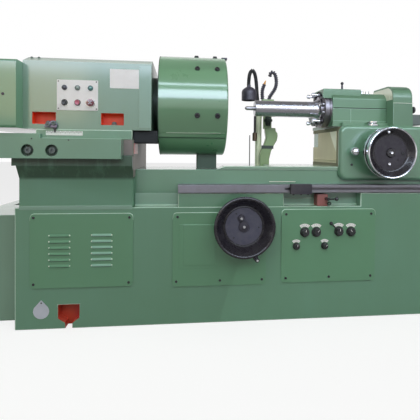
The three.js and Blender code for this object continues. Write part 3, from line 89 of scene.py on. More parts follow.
class Bench:
    """The modelling bench: primitives shaped with Blender's own tools, as by hand."""

    @staticmethod
    def clear() -> None:
        """Leave object mode with nothing selected."""
        if bpy.context.mode != "OBJECT":
            bpy.ops.object.mode_set(mode="OBJECT")
        bpy.ops.object.select_all(action="DESELECT")

    @staticmethod
    def hold(obj: Piece) -> None:
        """Make one object the only selected and active one.

        Args:
            obj: The piece.
        """
        Bench.clear()
        obj.select_set(True)
        bpy.context.view_layer.objects.active = obj

    @staticmethod
    def settle(obj: Piece) -> Piece:
        """Move an object's place, turn and scale into its mesh.

        Args:
            obj: The piece.

        Returns:
            The object.
        """
        Bench.hold(obj)
        bpy.ops.object.transform_apply(location=True, rotation=True, scale=True)
        return obj

    @staticmethod
    def block(name: str, low: Point, high: Point) -> Piece:
        """Add a block.

        Args:
            name: The piece's name.
            low: Its lowest corner.
            high: Its highest corner.

        Returns:
            The new object, at the origin.
        """
        Bench.clear()
        low, high = Vector(low), Vector(high)
        bpy.ops.mesh.primitive_cube_add(size=1, location=(low + high) / 2, scale=high - low)
        obj = bpy.context.object
        obj.name = obj.data.name = name
        return Bench.settle(obj)

    @staticmethod
    def trace(name: str, points: Sequence[Point]) -> Piece:
        """Draw a chain of edges by extruding one vertex from point to point, and stay in edit mode.

        Args:
            name: The piece's name.
            points: The chain's points.

        Returns:
            The new object, in edit mode.
        """
        Bench.clear()
        bpy.ops.mesh.primitive_plane_add(size=0.01)
        obj = bpy.context.object
        obj.name = obj.data.name = name
        bpy.ops.object.mode_set(mode="EDIT")
        bpy.ops.mesh.select_mode(type="VERT")
        bpy.ops.mesh.merge(type="CENTER")
        bpy.ops.transform.translate(value=Vector(points[0]))
        for before, after in zip(points, points[1:]):
            step = Vector(after) - Vector(before)
            bpy.ops.mesh.extrude_vertices_move(TRANSFORM_OT_translate={"value": step})
        bpy.ops.mesh.select_all(action="SELECT")
        return obj

    @staticmethod
    def turned(name: str, profile: Outline, sides: int = 64) -> Piece:
        """Spin a profile about the upright axis.

        Args:
            name: The piece's name.
            profile: Points of radius and height; a ring's profile ends where it starts.
            sides: How many steps the turn has.

        Returns:
            The new object, upright at the origin.
        """
        obj = Bench.trace(name, [(radius, 0, height) for radius, height in profile])
        bpy.ops.mesh.spin(steps=sides, angle=2 * math.pi, center=(0, 0, 0), axis=(0, 0, 1))
        Bench.close(MERGE)
        return obj

    @staticmethod
    def rod(name: str, radius: float, low: float, high: float, sides: int) -> Piece:
        """Turn an upright rod of a radius between two heights."""
        return Bench.turned(name, [(0, low), (radius, low), (radius, high), (0, high)], sides)

    @staticmethod
    def ring(name: str, inner: float, outer: float, low: float, high: float,
             sides: int) -> Piece:
        """Turn an upright ring between two radii and two heights."""
        return Bench.turned(name, [(inner, low), (outer, low), (outer, high), (inner, high), (inner, low)],
                            sides)

    @staticmethod
    def cut_out(name: str, outline: Outline, thick: float) -> Piece:
        """Cut a flat outline from stock of a thickness; it lies on the ground plane and rises from it.

        Args:
            name: The piece's name.
            outline: Its flat outline.
            thick: Its thickness.

        Returns:
            The new object, lying on the ground plane.
        """
        points = [(u, v, 0) for u, v in outline]
        obj = Bench.trace(name, [*points, points[0]])
        bpy.ops.mesh.remove_doubles(threshold=MERGE)
        bpy.ops.mesh.select_all(action="SELECT")
        bpy.ops.mesh.edge_face_add()
        bpy.ops.mesh.extrude_region_move(TRANSFORM_OT_translate={"value": (0, 0, thick)})
        Bench.close(MERGE)
        return obj

    @staticmethod
    def close(threshold: float) -> None:
        """Merge doubles, turn all faces outwards and leave edit mode.

        Args:
            threshold: How near two corners count as one.
        """
        bpy.ops.mesh.select_all(action="SELECT")
        bpy.ops.mesh.remove_doubles(threshold=threshold)
        bpy.ops.mesh.normals_make_consistent(inside=False)
        bpy.ops.object.mode_set(mode="OBJECT")

    @staticmethod
    def mount(obj: Piece, place: Point, facing: Facing = Facing.UP) -> Piece:
        """Turn an upright piece to a direction and move it to its place.

        Args:
            obj: The piece.
            place: Where it goes, in metres.
            facing: The way that its upright axis points.

        Returns:
            The piece.
        """
        obj.rotation_euler = facing.euler()
        obj.location = place
        return Bench.settle(obj)

    @staticmethod
    def aim(obj: Piece, place: Point, direction: Vector) -> Piece:
        """Lean an upright piece along any direction and move it to its place.

        Args:
            obj: The piece.
            place: Where it goes, in metres.
            direction: The way that its upright axis leans.

        Returns:
            The piece.
        """
        obj.rotation_mode = "XYZ"
        obj.rotation_euler = Vector(direction).to_track_quat("Z", "Y").to_euler()
        obj.location = place
        return Bench.settle(obj)

    @staticmethod
    def copies(obj: Piece, matrices: Iterable[Matrix]) -> Piece:
        """Copy a modelled shape to several places and join the copies to one piece.

        Args:
            obj: The shape, modelled once at the origin; it is used up.
            matrices: The place and turn of each copy.

        Returns:
            The joined piece, under the shape's own name.
        """
        name = obj.name
        made = []
        for matrix in matrices:
            copy = bpy.data.objects.new(name, obj.data.copy())
            bpy.context.scene.collection.objects.link(copy)
            copy.matrix_world = matrix
            made.append(copy)
        bpy.data.objects.remove(obj)
        return Bench.joined(name, made)

    @staticmethod
    def joined(name: str, parts: Sequence[Piece]) -> Piece:
        """Join objects to one piece at the origin.

        Args:
            name: The piece's name.
            parts: The objects.

        Returns:
            The joined piece.
        """
        Bench.clear()
        for part in parts:
            part.select_set(True)
        bpy.context.view_layer.objects.active = parts[0]
        bpy.ops.object.transform_apply(location=True, rotation=True, scale=True)
        if len(parts) > 1:
            bpy.ops.object.join()
        obj = bpy.context.view_layer.objects.active
        obj.name = obj.data.name = name
        return obj

    @staticmethod
    def carved(obj: Piece, tool: Piece,
               operation: str = "DIFFERENCE") -> Piece:
        """Cut a tool from a piece, or add it, and throw the tool away.

        Args:
            obj: The piece.
            tool: The shape to cut with, which is used up.
            operation: DIFFERENCE, or UNION to add the shape.

        Returns:
            The piece.
        """
        Bench.hold(obj)
        change = obj.modifiers.new("carve", "BOOLEAN")
        change.operation = operation
        change.solver = "EXACT"
        change.object = tool
        bpy.ops.object.modifier_apply(modifier=change.name)
        bpy.data.objects.remove(tool)
        return obj

    @staticmethod
    def drilled(obj: Piece, place: Point, radius: float, depth: float,
                reach: float) -> Piece:
        """Drill a bore from the front.

        Args:
            obj: The piece.
            place: A point of the bore's axis.
            radius: The bore's radius.
            depth: How far it goes behind that point.
            reach: How far the drill stands before that point.

        Returns:
            The piece.
        """
        drill = Bench.rod("drill", radius, -depth, reach, 32)
        Bench.mount(drill, place, Facing.FRONT)
        return Bench.carved(obj, drill)

    @staticmethod
    def eased(obj: Piece, width: float, segments: int = 3,
              angle: float = 30) -> Piece:
        """Round all edges sharper than an angle, in degrees, with a bevel.

        Args:
            obj: The piece.
            width: The bevel's width.
            segments: How many facets each round has.
            angle: The angle, in degrees.

        Returns:
            The piece.
        """
        Bench.hold(obj)
        bevel = obj.modifiers.new("ease", "BEVEL")
        bevel.width = width
        bevel.segments = segments
        bevel.limit_method = "ANGLE"
        bevel.angle_limit = math.radians(angle)
        bpy.ops.object.modifier_apply(modifier=bevel.name)
        return obj

    @staticmethod
    def eased_where(obj: Piece, width: float, segments: int,
                    chosen: EdgeTest, material: int = -1) -> Piece:
        """Round the edges that a test chooses.

        Args:
            obj: The piece.
            width: The bevel's width.
            segments: How many facets the round has.
            chosen: Says for an edge whether it is rounded.
            material: The number of the rounds' material, or -1 for that of the faces beside them.

        Returns:
            The piece.
        """
        Bench.hold(obj)
        bpy.ops.object.mode_set(mode="EDIT")
        bpy.ops.mesh.select_mode(type="EDGE")
        bpy.ops.mesh.select_all(action="DESELECT")
        mesh = bmesh.from_edit_mesh(obj.data)
        for edge in mesh.edges:
            edge.select_set(edge.is_manifold and chosen(edge))
        bmesh.update_edit_mesh(obj.data)
        if obj.data.total_edge_sel:
            bpy.ops.mesh.bevel(offset=width, segments=segments, affect="EDGES", clamp_overlap=True,
                               material=material)
        bpy.ops.object.mode_set(mode="OBJECT")
        return obj

    @staticmethod
    def cast_copy(name: str, node: str) -> Piece:
        """Copy a CAD node's mesh, merge its loose triangles and dissolve the flat ones.

        Args:
            name: The piece's name.
            node: The CAD node.

        Returns:
            The copy.
        """
        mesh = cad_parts[node].data.copy()
        mesh.name = name
        mesh.materials.clear()
        obj = bpy.data.objects.new(name, mesh)
        bpy.context.scene.collection.objects.link(obj)
        Bench.hold(obj)
        bpy.ops.mesh.customdata_custom_splitnormals_clear()
        bpy.ops.object.mode_set(mode="EDIT")
        bpy.ops.mesh.select_all(action="SELECT")
        bpy.ops.mesh.remove_doubles(threshold=NEAR)
        bpy.ops.mesh.dissolve_limited(angle_limit=math.radians(0.5))
        bpy.ops.object.mode_set(mode="OBJECT")
        return obj

    @staticmethod
    def opened(obj: Piece, chosen: Callable[[bmesh.types.BMFace], bool]) -> Piece:
        """Delete the faces that a test chooses.

        Args:
            obj: The piece.
            chosen: Says for a face whether it is deleted.

        Returns:
            The piece.
        """
        Bench.hold(obj)
        bpy.ops.object.mode_set(mode="EDIT")
        bpy.ops.mesh.select_mode(type="FACE")
        bpy.ops.mesh.select_all(action="DESELECT")
        mesh = bmesh.from_edit_mesh(obj.data)
        for face in mesh.faces:
            face.select_set(bool(chosen(face)))
        bmesh.update_edit_mesh(obj.data)
        bpy.ops.mesh.delete(type="FACE")
        bpy.ops.object.mode_set(mode="OBJECT")
        return obj

    @staticmethod
    def thickened(obj: Piece, thick: float) -> Piece:
        """Give an open skin a thickness, inwards where it is negative.

        Args:
            obj: The piece.
            thick: Its thickness.

        Returns:
            The piece.
        """
        Bench.hold(obj)
        skin = obj.modifiers.new("skin", "SOLIDIFY")
        skin.thickness = abs(thick)
        skin.offset = -1 if thick < 0 else 1
        bpy.ops.object.modifier_apply(modifier=skin.name)
        return obj

    @staticmethod
    def tapered(obj: Piece, height: float, share: float) -> Piece:
        """Shrink the faces at a height towards the upright axis.

        Args:
            obj: The piece.
            height: The height of the faces.
            share: How much of their size is left.

        Returns:
            The piece.
        """
        Bench.hold(obj)
        bpy.ops.object.mode_set(mode="EDIT")
        bpy.ops.mesh.select_mode(type="VERT")
        bpy.ops.mesh.select_all(action="DESELECT")
        mesh = bmesh.from_edit_mesh(obj.data)
        for vertex in mesh.verts:
            vertex.select_set(abs(vertex.co.z - height) < NEAR)
        mesh.select_flush(True)
        bmesh.update_edit_mesh(obj.data)
        bpy.ops.transform.resize(value=(share, share, 1), center_override=(0, 0, height))
        bpy.ops.object.mode_set(mode="OBJECT")
        return obj

    @staticmethod
    def sliced(obj: Piece, place: Point, normal: Point) -> Piece:
        """Cut a piece with a plane, throw away the side that the normal points to and close the cut.

        Args:
            obj: The piece.
            place: Where it goes, in metres.
            normal: The side that is thrown away.

        Returns:
            The piece.
        """
        Bench.hold(obj)
        bpy.ops.object.mode_set(mode="EDIT")
        bpy.ops.mesh.select_all(action="SELECT")
        bpy.ops.mesh.bisect(plane_co=place, plane_no=normal, use_fill=True, clear_outer=True)
        bpy.ops.object.mode_set(mode="OBJECT")
        return obj

    @staticmethod
    def polished(obj: Piece, angle: float = 35) -> Piece:
        """Shade a piece smooth below an angle, in degrees, with flat faces kept flat.

        Args:
            obj: The piece.
            angle: The angle, in degrees.

        Returns:
            The piece.
        """
        Bench.hold(obj)
        bpy.ops.object.shade_smooth_by_angle(angle=math.radians(angle))
        even = obj.modifiers.new("even", "WEIGHTED_NORMAL")
        even.keep_sharp = True
        bpy.ops.object.modifier_apply(modifier=even.name)
        return obj


def convex_long_edge(shortest: float, sharpest: float = 25) -> EdgeTest:
    """Make a test for outward edges at least as long and as sharp, in degrees, as given.

    Args:
        shortest: The shortest length that counts.
        sharpest: The flattest angle that counts, in degrees.

    Returns:
        The test.
    """
    def chosen(edge: bmesh.types.BMEdge) -> bool:
        """Say whether the edge is long, sharp and turned outwards."""
        angle = edge.calc_face_angle_signed(0)
        return angle > math.radians(sharpest) and edge.calc_length() >= shortest
    return chosen


def arc(radius: float, start: float, end: float, steps: int, centre: Pair = (0,
                                                                                            0)) -> Outline:
    """Give points of an arc.

    Args:
        radius: Its radius.
        start: The angle that it starts at, in degrees.
        end: The angle that it ends at, in degrees.
        steps: How many steps it has.
        centre: Its centre.

    Returns:
        The points, both ends included.
    """
    turns = [math.radians(start + (end - start) * i / steps) for i in range(steps + 1)]
    return [(centre[0] + radius * math.cos(t), centre[1] + radius * math.sin(t)) for t in turns]


def rounded_box(u: Pair, v: Pair, radius: float, steps: int = 6) -> Outline:
    """Give the outline of a rectangle with round corners, from its low and high sides.

    Args:
        u: Its left and right sides.
        v: Its low and high sides.
        radius: The corners' radius.
        steps: How many steps each corner has.

    Returns:
        The outline's points.
    """
    centres = [(u[1] - radius, v[0] + radius, -90), (u[1] - radius, v[1] - radius, 0),
               (u[0] + radius, v[1] - radius, 90), (u[0] + radius, v[0] + radius, 180)]
    return [p for cu, cv, start in centres for p in arc(radius, start, start + 90, steps, (cu, cv))]


class Wiring:
    """A node tree with short calls to add and link its nodes."""

    def __init__(self, tree: bpy.types.NodeTree) -> None:
        """Take the tree to wire."""
        self.tree = tree

    def add(self, kind: str, inputs: dict | None = None, **settings: object) -> bpy.types.Node:
        """Add a node.

        Args:
            kind: The node's type, without its ShaderNode prefix.
            inputs: Values or source sockets by input name or number.
            settings: Values of the node's own properties.

        Returns:
            The node.
        """
        node = self.tree.nodes.new(kind if kind.startswith("Node") else "ShaderNode" + kind)
        for key, value in settings.items():
            setattr(node, key, value)
        for key, value in (inputs or {}).items():
            if isinstance(value, Socket):
                self.tree.links.new(value, node.inputs[key])
            else:
                node.inputs[key].default_value = value
        return node

    def maths(self, operation: str, first: object, second: object = 0.0) -> Socket:
        """Add a Math node and give its result."""
        return self.add("Math", {0: first, 1: second}, operation=operation).outputs[0]

    def blend(self, share: object, first: object, second: object) -> Socket:
        """Mix two colours by a share and give the result."""
        node = self.add("Mix", {0: share, 6: first, 7: second}, data_type="RGBA")
        return node.outputs[2]

    def spread(self, value: object, low: float, high: float, to_low: float = 0,
               to_high: float = 1) -> Socket:
        """Map a range of a value to another range, clamped, and give the result."""
        node = self.add("MapRange", {0: value, 1: low, 2: high, 3: to_low, 4: to_high})
        return node.outputs[0]

    def noise(self, vector: object, scale: float, detail: float = 2,
              rough: float = 0.5) -> Socket:
        """Add a noise texture and give its value."""
        node = self.add("TexNoise", {"Vector": vector, "Scale": scale, "Detail": detail,
                                     "Roughness": rough})
        return node.outputs[0]


def new_group(name: str, inputs: dict[str, object], outputs: dict[str, str]) -> tuple[Wiring,
                                                                                      bpy.types.Node,
                                                                                      bpy.types.Node]:
    """Make an empty shader node group.

    Args:
        name: The group's name.
        inputs: Each input's default value by name: one number, three for a vector or four for a colour.
        outputs: Each output's kind by name: COLOR or FLOAT.

    Returns:
        The group's wiring, its input node and its output node.
    """
    tree = bpy.data.node_groups.new(name, "ShaderNodeTree")
    for key, value in inputs.items():
        if isinstance(value, float):
            kind = "Float"
        else:
            kind = "Color" if len(value) == 4 else "Vector"
        socket = tree.interface.new_socket(key, in_out="INPUT", socket_type="NodeSocket" + kind)
        socket.default_value = value
    for key, kind in outputs.items():
        tree.interface.new_socket(key, in_out="OUTPUT", socket_type="NodeSocket" + kind.capitalize())
    wiring = Wiring(tree)
    return wiring, wiring.add("NodeGroupInput"), wiring.add("NodeGroupOutput")


def machine_paint_group() -> bpy.types.NodeTree:
    """Build the effect of sprayed machine paint: drifting colour, orange peel, dust, and oily grime with
    painted shade above a height.

    Returns:
        The group's tree.
    """
    w, given, out = new_group(
        "machine_paint",
        {"Paint": (0.1, 0.2, 0.1, 1), "Drift": 0.10, "Peel": 0.6, "Dust": 0.05, "Gloss": 0.4, "Grime And Shade": 0.0,
         "Grime And Shade Low": 0.70, "Grime And Shade High": 0.86},
        {"Color": "COLOR", "Roughness": "FLOAT", "Height": "FLOAT"},
    )
    where = w.add("TexCoord").outputs["Object"]
    wide = w.noise(where, 1.7, 3, 0.55)
    streak = w.noise(w.add("Mapping", {"Vector": where, "Scale": (9, 9, 1.3)}).outputs[0], 1.0, 4, 0.6)
    mottle = w.maths("ADD", w.maths("MULTIPLY", wide, 0.65), w.maths("MULTIPLY", streak, 0.35))
    swing = w.maths("MULTIPLY", w.maths("SUBTRACT", mottle, 0.5), given.outputs["Drift"])
    bright = w.maths("ADD", w.maths("MULTIPLY", swing, 2.6), 1.0)
    tinted = w.add("HueSaturation", {"Hue": w.maths("ADD", 0.5, w.maths("MULTIPLY", swing, 0.35)),
                                     "Value": bright, "Color": given.outputs["Paint"]}).outputs[0]
    geometry = w.add("NewGeometry")
    up = w.add("SeparateXYZ", {0: geometry.outputs["Normal"]}).outputs[2]
    settled = w.spread(up, 0.55, 0.95)
    speckle = w.spread(w.noise(where, 34, 5, 0.7), 0.38, 0.72)
    dusty = w.maths("MULTIPLY", w.maths("MULTIPLY", settled, speckle), given.outputs["Dust"])
    with_dust = w.blend(dusty, tinted, (0.36, 0.40, 0.33, 1))
    # Grime and painted shade: the paint turns dark above a height, for oily grime and for the shade under an
    # overhang.
    height = w.add("SeparateXYZ", {0: where}).outputs[2]
    rise = w.add("MapRange", {0: height, 1: given.outputs["Grime And Shade Low"],
                              2: given.outputs["Grime And Shade High"]}).outputs[0]
    streaks = w.noise(w.add("Mapping", {"Vector": where, "Scale": (26, 26, 3)}).outputs[0], 1.0, 3, 0.6)
    grime_and_shade = w.maths("MULTIPLY", w.maths("MULTIPLY", rise, w.spread(streaks, 0.25, 0.5, 0.75, 1)),
                    given.outputs["Grime And Shade"])
    colour = w.blend(grime_and_shade, with_dust, (0.008, 0.025, 0.010, 1))
    peel = w.noise(where, 260, 2, 0.5)
    smear = w.spread(w.noise(where, 7, 4, 0.65), 0.0, 1.0, -0.10, 0.12)
    rough = w.maths("ADD", w.maths("ADD", given.outputs["Gloss"], smear), w.maths("MULTIPLY", dusty, 0.5))
    w.tree.links.new(colour, out.inputs["Color"])
    w.tree.links.new(rough, out.inputs["Roughness"])
    w.tree.links.new(w.maths("MULTIPLY", peel, given.outputs["Peel"]), out.inputs["Height"])
    return w.tree


def worked_metal_group() -> bpy.types.NodeTree:
    """Build the effect of ground or turned metal: fine tool marks, oil smears and dark specks.

    Returns:
        The group's tree.
    """
    w, given, out = new_group("worked_metal", {"Metal": (0.5, 0.5, 0.5, 1), "Grain": (40.0, 900.0, 900.0),
                                               "Smear": 0.2, "Gloss": 0.3, "Specks": 0.2},
                              {"Color": "COLOR", "Roughness": "FLOAT", "Height": "FLOAT"},)
    where = w.add("TexCoord").outputs["Object"]
    marks = w.noise(w.add("VectorMath", {0: where, 1: given.outputs["Grain"]},
                          operation="MULTIPLY").outputs[0], 1.0, 2, 0.6)
    oil = w.spread(w.noise(where, 11, 4, 0.6), 0.35, 0.7)
    specks = w.spread(w.noise(where, 140, 2, 0.5), 0.66, 0.74)
    shade = w.add("HueSaturation", {"Value": w.maths("ADD", 0.86, w.maths("MULTIPLY", marks, 0.28)),
                                    "Color": given.outputs["Metal"]}).outputs[0]
    oiled = w.blend(w.maths("MULTIPLY", oil, given.outputs["Smear"]), shade, (0.12, 0.105, 0.09, 1))
    colour = w.blend(w.maths("MULTIPLY", specks, given.outputs["Specks"]), oiled, (0.05, 0.04, 0.03, 1))
    rough = w.maths("ADD", given.outputs["Gloss"],
                    w.maths("ADD", w.maths("MULTIPLY", w.maths("SUBTRACT", marks, 0.5), 0.25),
                            w.maths("MULTIPLY", oil, 0.1)))
    w.tree.links.new(colour, out.inputs["Color"])
    w.tree.links.new(rough, out.inputs["Roughness"])
    w.tree.links.new(marks, out.inputs["Height"])
    return w.tree


def moulded_group() -> bpy.types.NodeTree:
    """Build the effect of moulded plastic or enamel: faint drift, fine pits and finger smears.

    Returns:
        The group's tree.
    """
    w, given, out = new_group(
        "moulded_skin",
        {"Base": (0.02, 0.02, 0.02, 1), "Gloss": 0.3, "Smear": 0.3, "Pits": 0.5},
        {"Color": "COLOR", "Roughness": "FLOAT", "Height": "FLOAT"},
    )
    where = w.add("TexCoord").outputs["Object"]
    drift = w.noise(where, 13, 4, 0.6)
    smear = w.spread(w.noise(where, 31, 5, 0.7), 0.4, 0.7)
    colour = w.add("HueSaturation", {"Value": w.maths("ADD", 0.8, w.maths("MULTIPLY", drift, 0.4)),
                                     "Color": given.outputs["Base"]}).outputs[0]
    hazy = w.blend(w.maths("MULTIPLY", smear, w.maths("MULTIPLY", given.outputs["Smear"], 0.25)), colour,
                   (0.30, 0.30, 0.31, 1))
    rough = w.maths("ADD", given.outputs["Gloss"], w.maths("MULTIPLY", smear,
                                                           w.maths("MULTIPLY", given.outputs["Smear"],
                                                                   0.4)))
    w.tree.links.new(hazy, out.inputs["Color"])
    w.tree.links.new(rough, out.inputs["Roughness"])
    w.tree.links.new(w.maths("MULTIPLY", w.noise(where, 700, 2), given.outputs["Pits"]),
                     out.inputs["Height"])
    return w.tree


@dataclass(frozen=True)
class Finish:
    """One surface finish: its colour, gloss and the effect group that varies them."""

    name: str
    slot: str
    colour: Triple
    roughness: float
    effect: str
    extras: tuple[tuple[str, object], ...] = ()
    metallic: float = 0.0
    coat: float = 0.0
    coat_roughness: float = 0.1
    coat_ior: float = 1.5
    bump: float = 0.15
    bump_depth: float = 0.0004

    def material(self) -> bpy.types.Material:
        """Make the finish's material, or find it where it was made before.

        Returns:
            The material.
        """
        title = f"finish_{self.name}"
        found = bpy.data.materials.get(title)
        if found:
            return found
        made = bpy.data.materials.new(title)
        made.use_nodes = True
        made.node_tree.nodes.clear()
        w = Wiring(made.node_tree)
        group = w.add("Group", node_tree=EFFECTS[self.effect])
        group.inputs[0].default_value = (*self.colour, 1)
        group.inputs["Gloss"].default_value = self.roughness
        for key, value in self.extras:
            group.inputs[key].default_value = value
        self.dress(w, group)
        return made

    def dress(self, w: Wiring, group: bpy.types.Node) -> None:
        """Wire the group to a Principled BSDF.

        Args:
            w: The material's wiring.
            group: The effect's node.
        """
        bump = w.add("Bump", {"Strength": self.bump, "Distance": self.bump_depth,
                              "Height": group.outputs["Height"]})
        shader = w.add("BsdfPrincipled", {
            "Base Color": group.outputs["Color"], "Roughness": group.outputs["Roughness"],
            "Normal": bump.outputs[0], "Metallic": self.metallic, "Coat Weight": self.coat,
            "Coat Roughness": self.coat_roughness, "Coat IOR": self.coat_ior,
        })
        w.add("OutputMaterial", {"Surface": shader.outputs[0]})


def srgb(red: int, green: int, blue: int) -> Triple:
    """Turn a colour written from 0 to 255 to the linear values that a shader takes.

    Args:
        red: The red, from 0 to 255.
        green: The green, from 0 to 255.
        blue: The blue, from 0 to 255.

    Returns:
        The three linear values.
    """
    def linear(value: int) -> float:
        """Turn one channel."""
        share = value / 255
        return share / 12.92 if share <= 0.04045 else ((share + 0.055) / 1.055) ** 2.4
    return linear(red), linear(green), linear(blue)


EFFECTS = {"paint": machine_paint_group(), "metal": worked_metal_group(), "moulded": moulded_group()}

GREEN = Finish("green_machine_paint", "green_paint", srgb(97, 141, 115), 0.36, "paint", coat=0.9,
               coat_roughness=0.13, coat_ior=1.6)
# A lighter copy of the green paint: painted light on the brightly lit work head, tank and table top.
GREEN_HEAD_LIT = Finish("green_head_lit_paint", "green_paint", srgb(117, 150, 130), 0.34, "paint",
                    (("Drift", 0.14),), coat=0.9, coat_roughness=0.13, coat_ior=1.6)
# The riser's paint: its top band under the bridge bar is darkened, as grime and as painted shade from the
# bar.
GREEN_GRIMY_SHADED = Finish("green_grimy_shaded_paint", "green_paint", srgb(97, 141, 115), 0.50, "paint",
                     (("Grime And Shade", 0.90), ("Grime And Shade Low", 0.772), ("Grime And Shade High", 0.790)), coat=0.3,
                     coat_roughness=0.2)
GREEN_MATT = Finish("green_matt_paint", "green_paint", srgb(98, 146, 114), 0.75, "paint", (("Dust", 0.0),))
# A paler copy of the matt green: painted light on the right column of louvres.
GREEN_LIT_MATT = Finish("green_lit_matt_paint", "green_paint", srgb(134, 178, 158), 0.70, "paint",
                         (("Dust", 0.0),))
# Pale grey metal for the wheel's painted highlight rings.
RIM_HIGHLIGHT = Finish("rim_highlight_metal", "worn_iron", srgb(126, 124, 138), 0.35, "metal", metallic=0.6)
# A darker copy of the green paint: painted shade on the wheel head, its cap and its belt cover.
GREEN_CAP_SHADED = Finish("green_wheel_head_shaded_paint", "green_paint", srgb(88, 126, 100), 0.38, "paint",
                   (("Drift", 0.08),), coat=0.6)
STAND_PAINT = Finish("stand_paint", "green_paint", srgb(122, 150, 104), 0.36, "paint", (("Drift", 0.3),),
                     coat=0.6)
SHADOW = Finish("shadow_paint", "dark_paint", srgb(16, 19, 20), 0.8, "paint", (("Dust", 0.0),))
# Lighter than the slide's own side paint: painted light on its left-facing side.
DULL_KHAKI = Finish("dull_khaki", "khaki_paint", srgb(136, 136, 112), 0.8, "paint", (("Drift", 0.25),))
HUB_GREY = Finish("hub_enamel", "black_enamel", srgb(42, 40, 52), 0.34, "moulded", (("Smear", 0.3),))
POCKET_RED = Finish("orange_pocket_paint", "red_plastic", srgb(226, 72, 24), 0.5, "paint",
                    (("Drift", 0.25), ("Dust", 0.1)))
# Pale paint for painted highlight lines and dots.
GLINT = Finish("pale_glint", "green_paint", srgb(228, 240, 226), 0.3, "paint", coat=0.6)
GREEN_SMOOTH = Finish("green_sheet_paint", "green_paint", srgb(94, 143, 110), 0.34, "paint",
                      (("Drift", 0.05), ("Peel", 0.4)), coat=0.9, coat_roughness=0.10, coat_ior=1.55)
# Pale green for rounded edges and beads: a painted highlight along them.
GREEN_EDGE_HIGHLIGHT = Finish("green_edge_highlight", "green_paint", srgb(178, 208, 188), 0.30, "paint",
                    (("Drift", 0.30),), coat=0.8)
# A lighter copy of the green paint: painted light on lips, strips and screens.
GREEN_LIT = Finish("green_lit_paint", "green_paint", srgb(128, 164, 146), 0.30, "paint",
                   (("Drift", 0.16),), coat=0.9, coat_ior=1.6)
# Dark green: the own colour of washers, marks and ports, and painted shade in slits, counterbores, the
# drum's gap, the spout and the joint's shadow line.
GREEN_DARK = Finish("green_dark_and_shade_paint", "dark_paint", srgb(44, 62, 50), 0.5, "paint", (("Dust", 0.1),))
PINK = Finish("aged_primer", "pink_paint", srgb(150, 96, 90), 0.5, "paint", (("Drift", 0.3),))
GREY = Finish("grey_motor_paint", "grey_paint", srgb(90, 100, 99), 0.42, "paint", coat=0.2)
# Far lighter than the guard's own khaki: painted light on the slide's left-facing side, which the lamps
# light little.
KHAKI = Finish("khaki_cover", "khaki_paint", srgb(222, 216, 186), 0.72, "paint",
               (("Drift", 0.25), ("Peel", 1.0)))
RED_PRIMER = Finish("red_pocket_paint", "red_plastic", srgb(180, 48, 34), 0.4, "paint",
                    (("Drift", 0.30), ("Dust", 0.2)), coat=0.2)
WHITE = Finish("white_plate", "white_plate", srgb(254, 254, 254), 0.35, "moulded",
               (("Smear", 0.1), ("Pits", 0.1)))
TAG = Finish("tag_plate", "white_plate", srgb(203, 208, 222), 0.4, "moulded", (("Smear", 0.2),))
STEEL = Finish("ground_steel", "ground_steel", srgb(168, 168, 170), 0.30, "metal", metallic=1.0)
STEEL_TURNED = Finish("turned_steel", "ground_steel", srgb(176, 174, 176), 0.26, "metal",
                      (("Grain", (900.0, 60.0, 60.0)),), metallic=1.0)
IRON = Finish("worn_iron", "worn_iron", srgb(104, 102, 104), 0.42, "metal",
              (("Grain", (90.0, 90.0, 90.0)), ("Smear", 0.5)), metallic=0.85)
DARK_IRON = Finish("blackened_iron", "worn_iron", srgb(52, 50, 58), 0.38, "metal",
                   (("Grain", (120.0, 120.0, 120.0)), ("Smear", 0.3)), metallic=0.6)
CHROME = Finish("bright_chrome", "bright_chrome", srgb(225, 226, 230), 0.10, "metal",
                (("Smear", 0.05), ("Specks", 0.02)), metallic=1.0, bump=0.03)
ENAMEL = Finish("black_enamel", "black_enamel", srgb(20, 17, 24), 0.26, "moulded",
                (("Smear", 0.12), ("Pits", 0.2)), coat=0.35, coat_roughness=0.06)
SATIN_BLACK = Finish("satin_black", "black_enamel", srgb(68, 68, 86), 0.38, "moulded", (("Smear", 0.5),))
BLACK = Finish("black_plastic", "black_plastic", srgb(24, 24, 26), 0.38, "moulded")
RED = Finish("red_plastic", "red_plastic", srgb(190, 84, 112), 0.3, "moulded", coat=0.3)
DARK_RED = Finish("dark_red_plastic", "red_plastic", srgb(92, 26, 40), 0.2, "moulded", coat=0.8,
                  coat_roughness=0.05)
WHEEL_DARK = Finish("wheel_dark_enamel", "black_enamel", srgb(36, 30, 38), 0.65, "moulded",
                    (("Smear", 0.5), ("Pits", 0.6)))
# Pinkish grey: painted light, the tint that the light gives the bridge's end and side.
SIDE_LIT_GREY = Finish("side_lit_grey_paint", "grey_paint", srgb(136, 126, 122), 0.5, "paint", (("Drift", 0.30),))
# Lighter still: painted light on the guard's paler patch.
PALE_PATCH = Finish("pale_patch_paint", "khaki_paint", srgb(252, 254, 232), 0.5, "paint",
                    (("Drift", 0.12),))
HOSE = Finish("black_hose", "black_hose", srgb(34, 30, 44), 0.35, "moulded", (("Smear", 0.2),))
RAIL = Finish("rail_steel", "ground_steel", srgb(126, 124, 130), 0.40, "metal", (("Smear", 0.35),),
              metallic=0.75)
QUILL_STEEL = Finish("quill_steel", "ground_steel", srgb(188, 186, 192), 0.20, "metal",
                     (("Smear", 0.12), ("Specks", 0.05)), metallic=1.0, bump=0.05)
FLANGE_STEEL = Finish("flange_steel", "worn_iron", srgb(140, 136, 142), 0.32, "metal",
                      (("Grain", (500.0, 60.0, 60.0)), ("Smear", 0.4)), metallic=0.95)
POINTER_STEEL = Finish("pointer_steel", "worn_iron", srgb(112, 106, 124), 0.3, "metal",
                       (("Grain", (60.0, 60.0, 60.0)),), metallic=0.9)
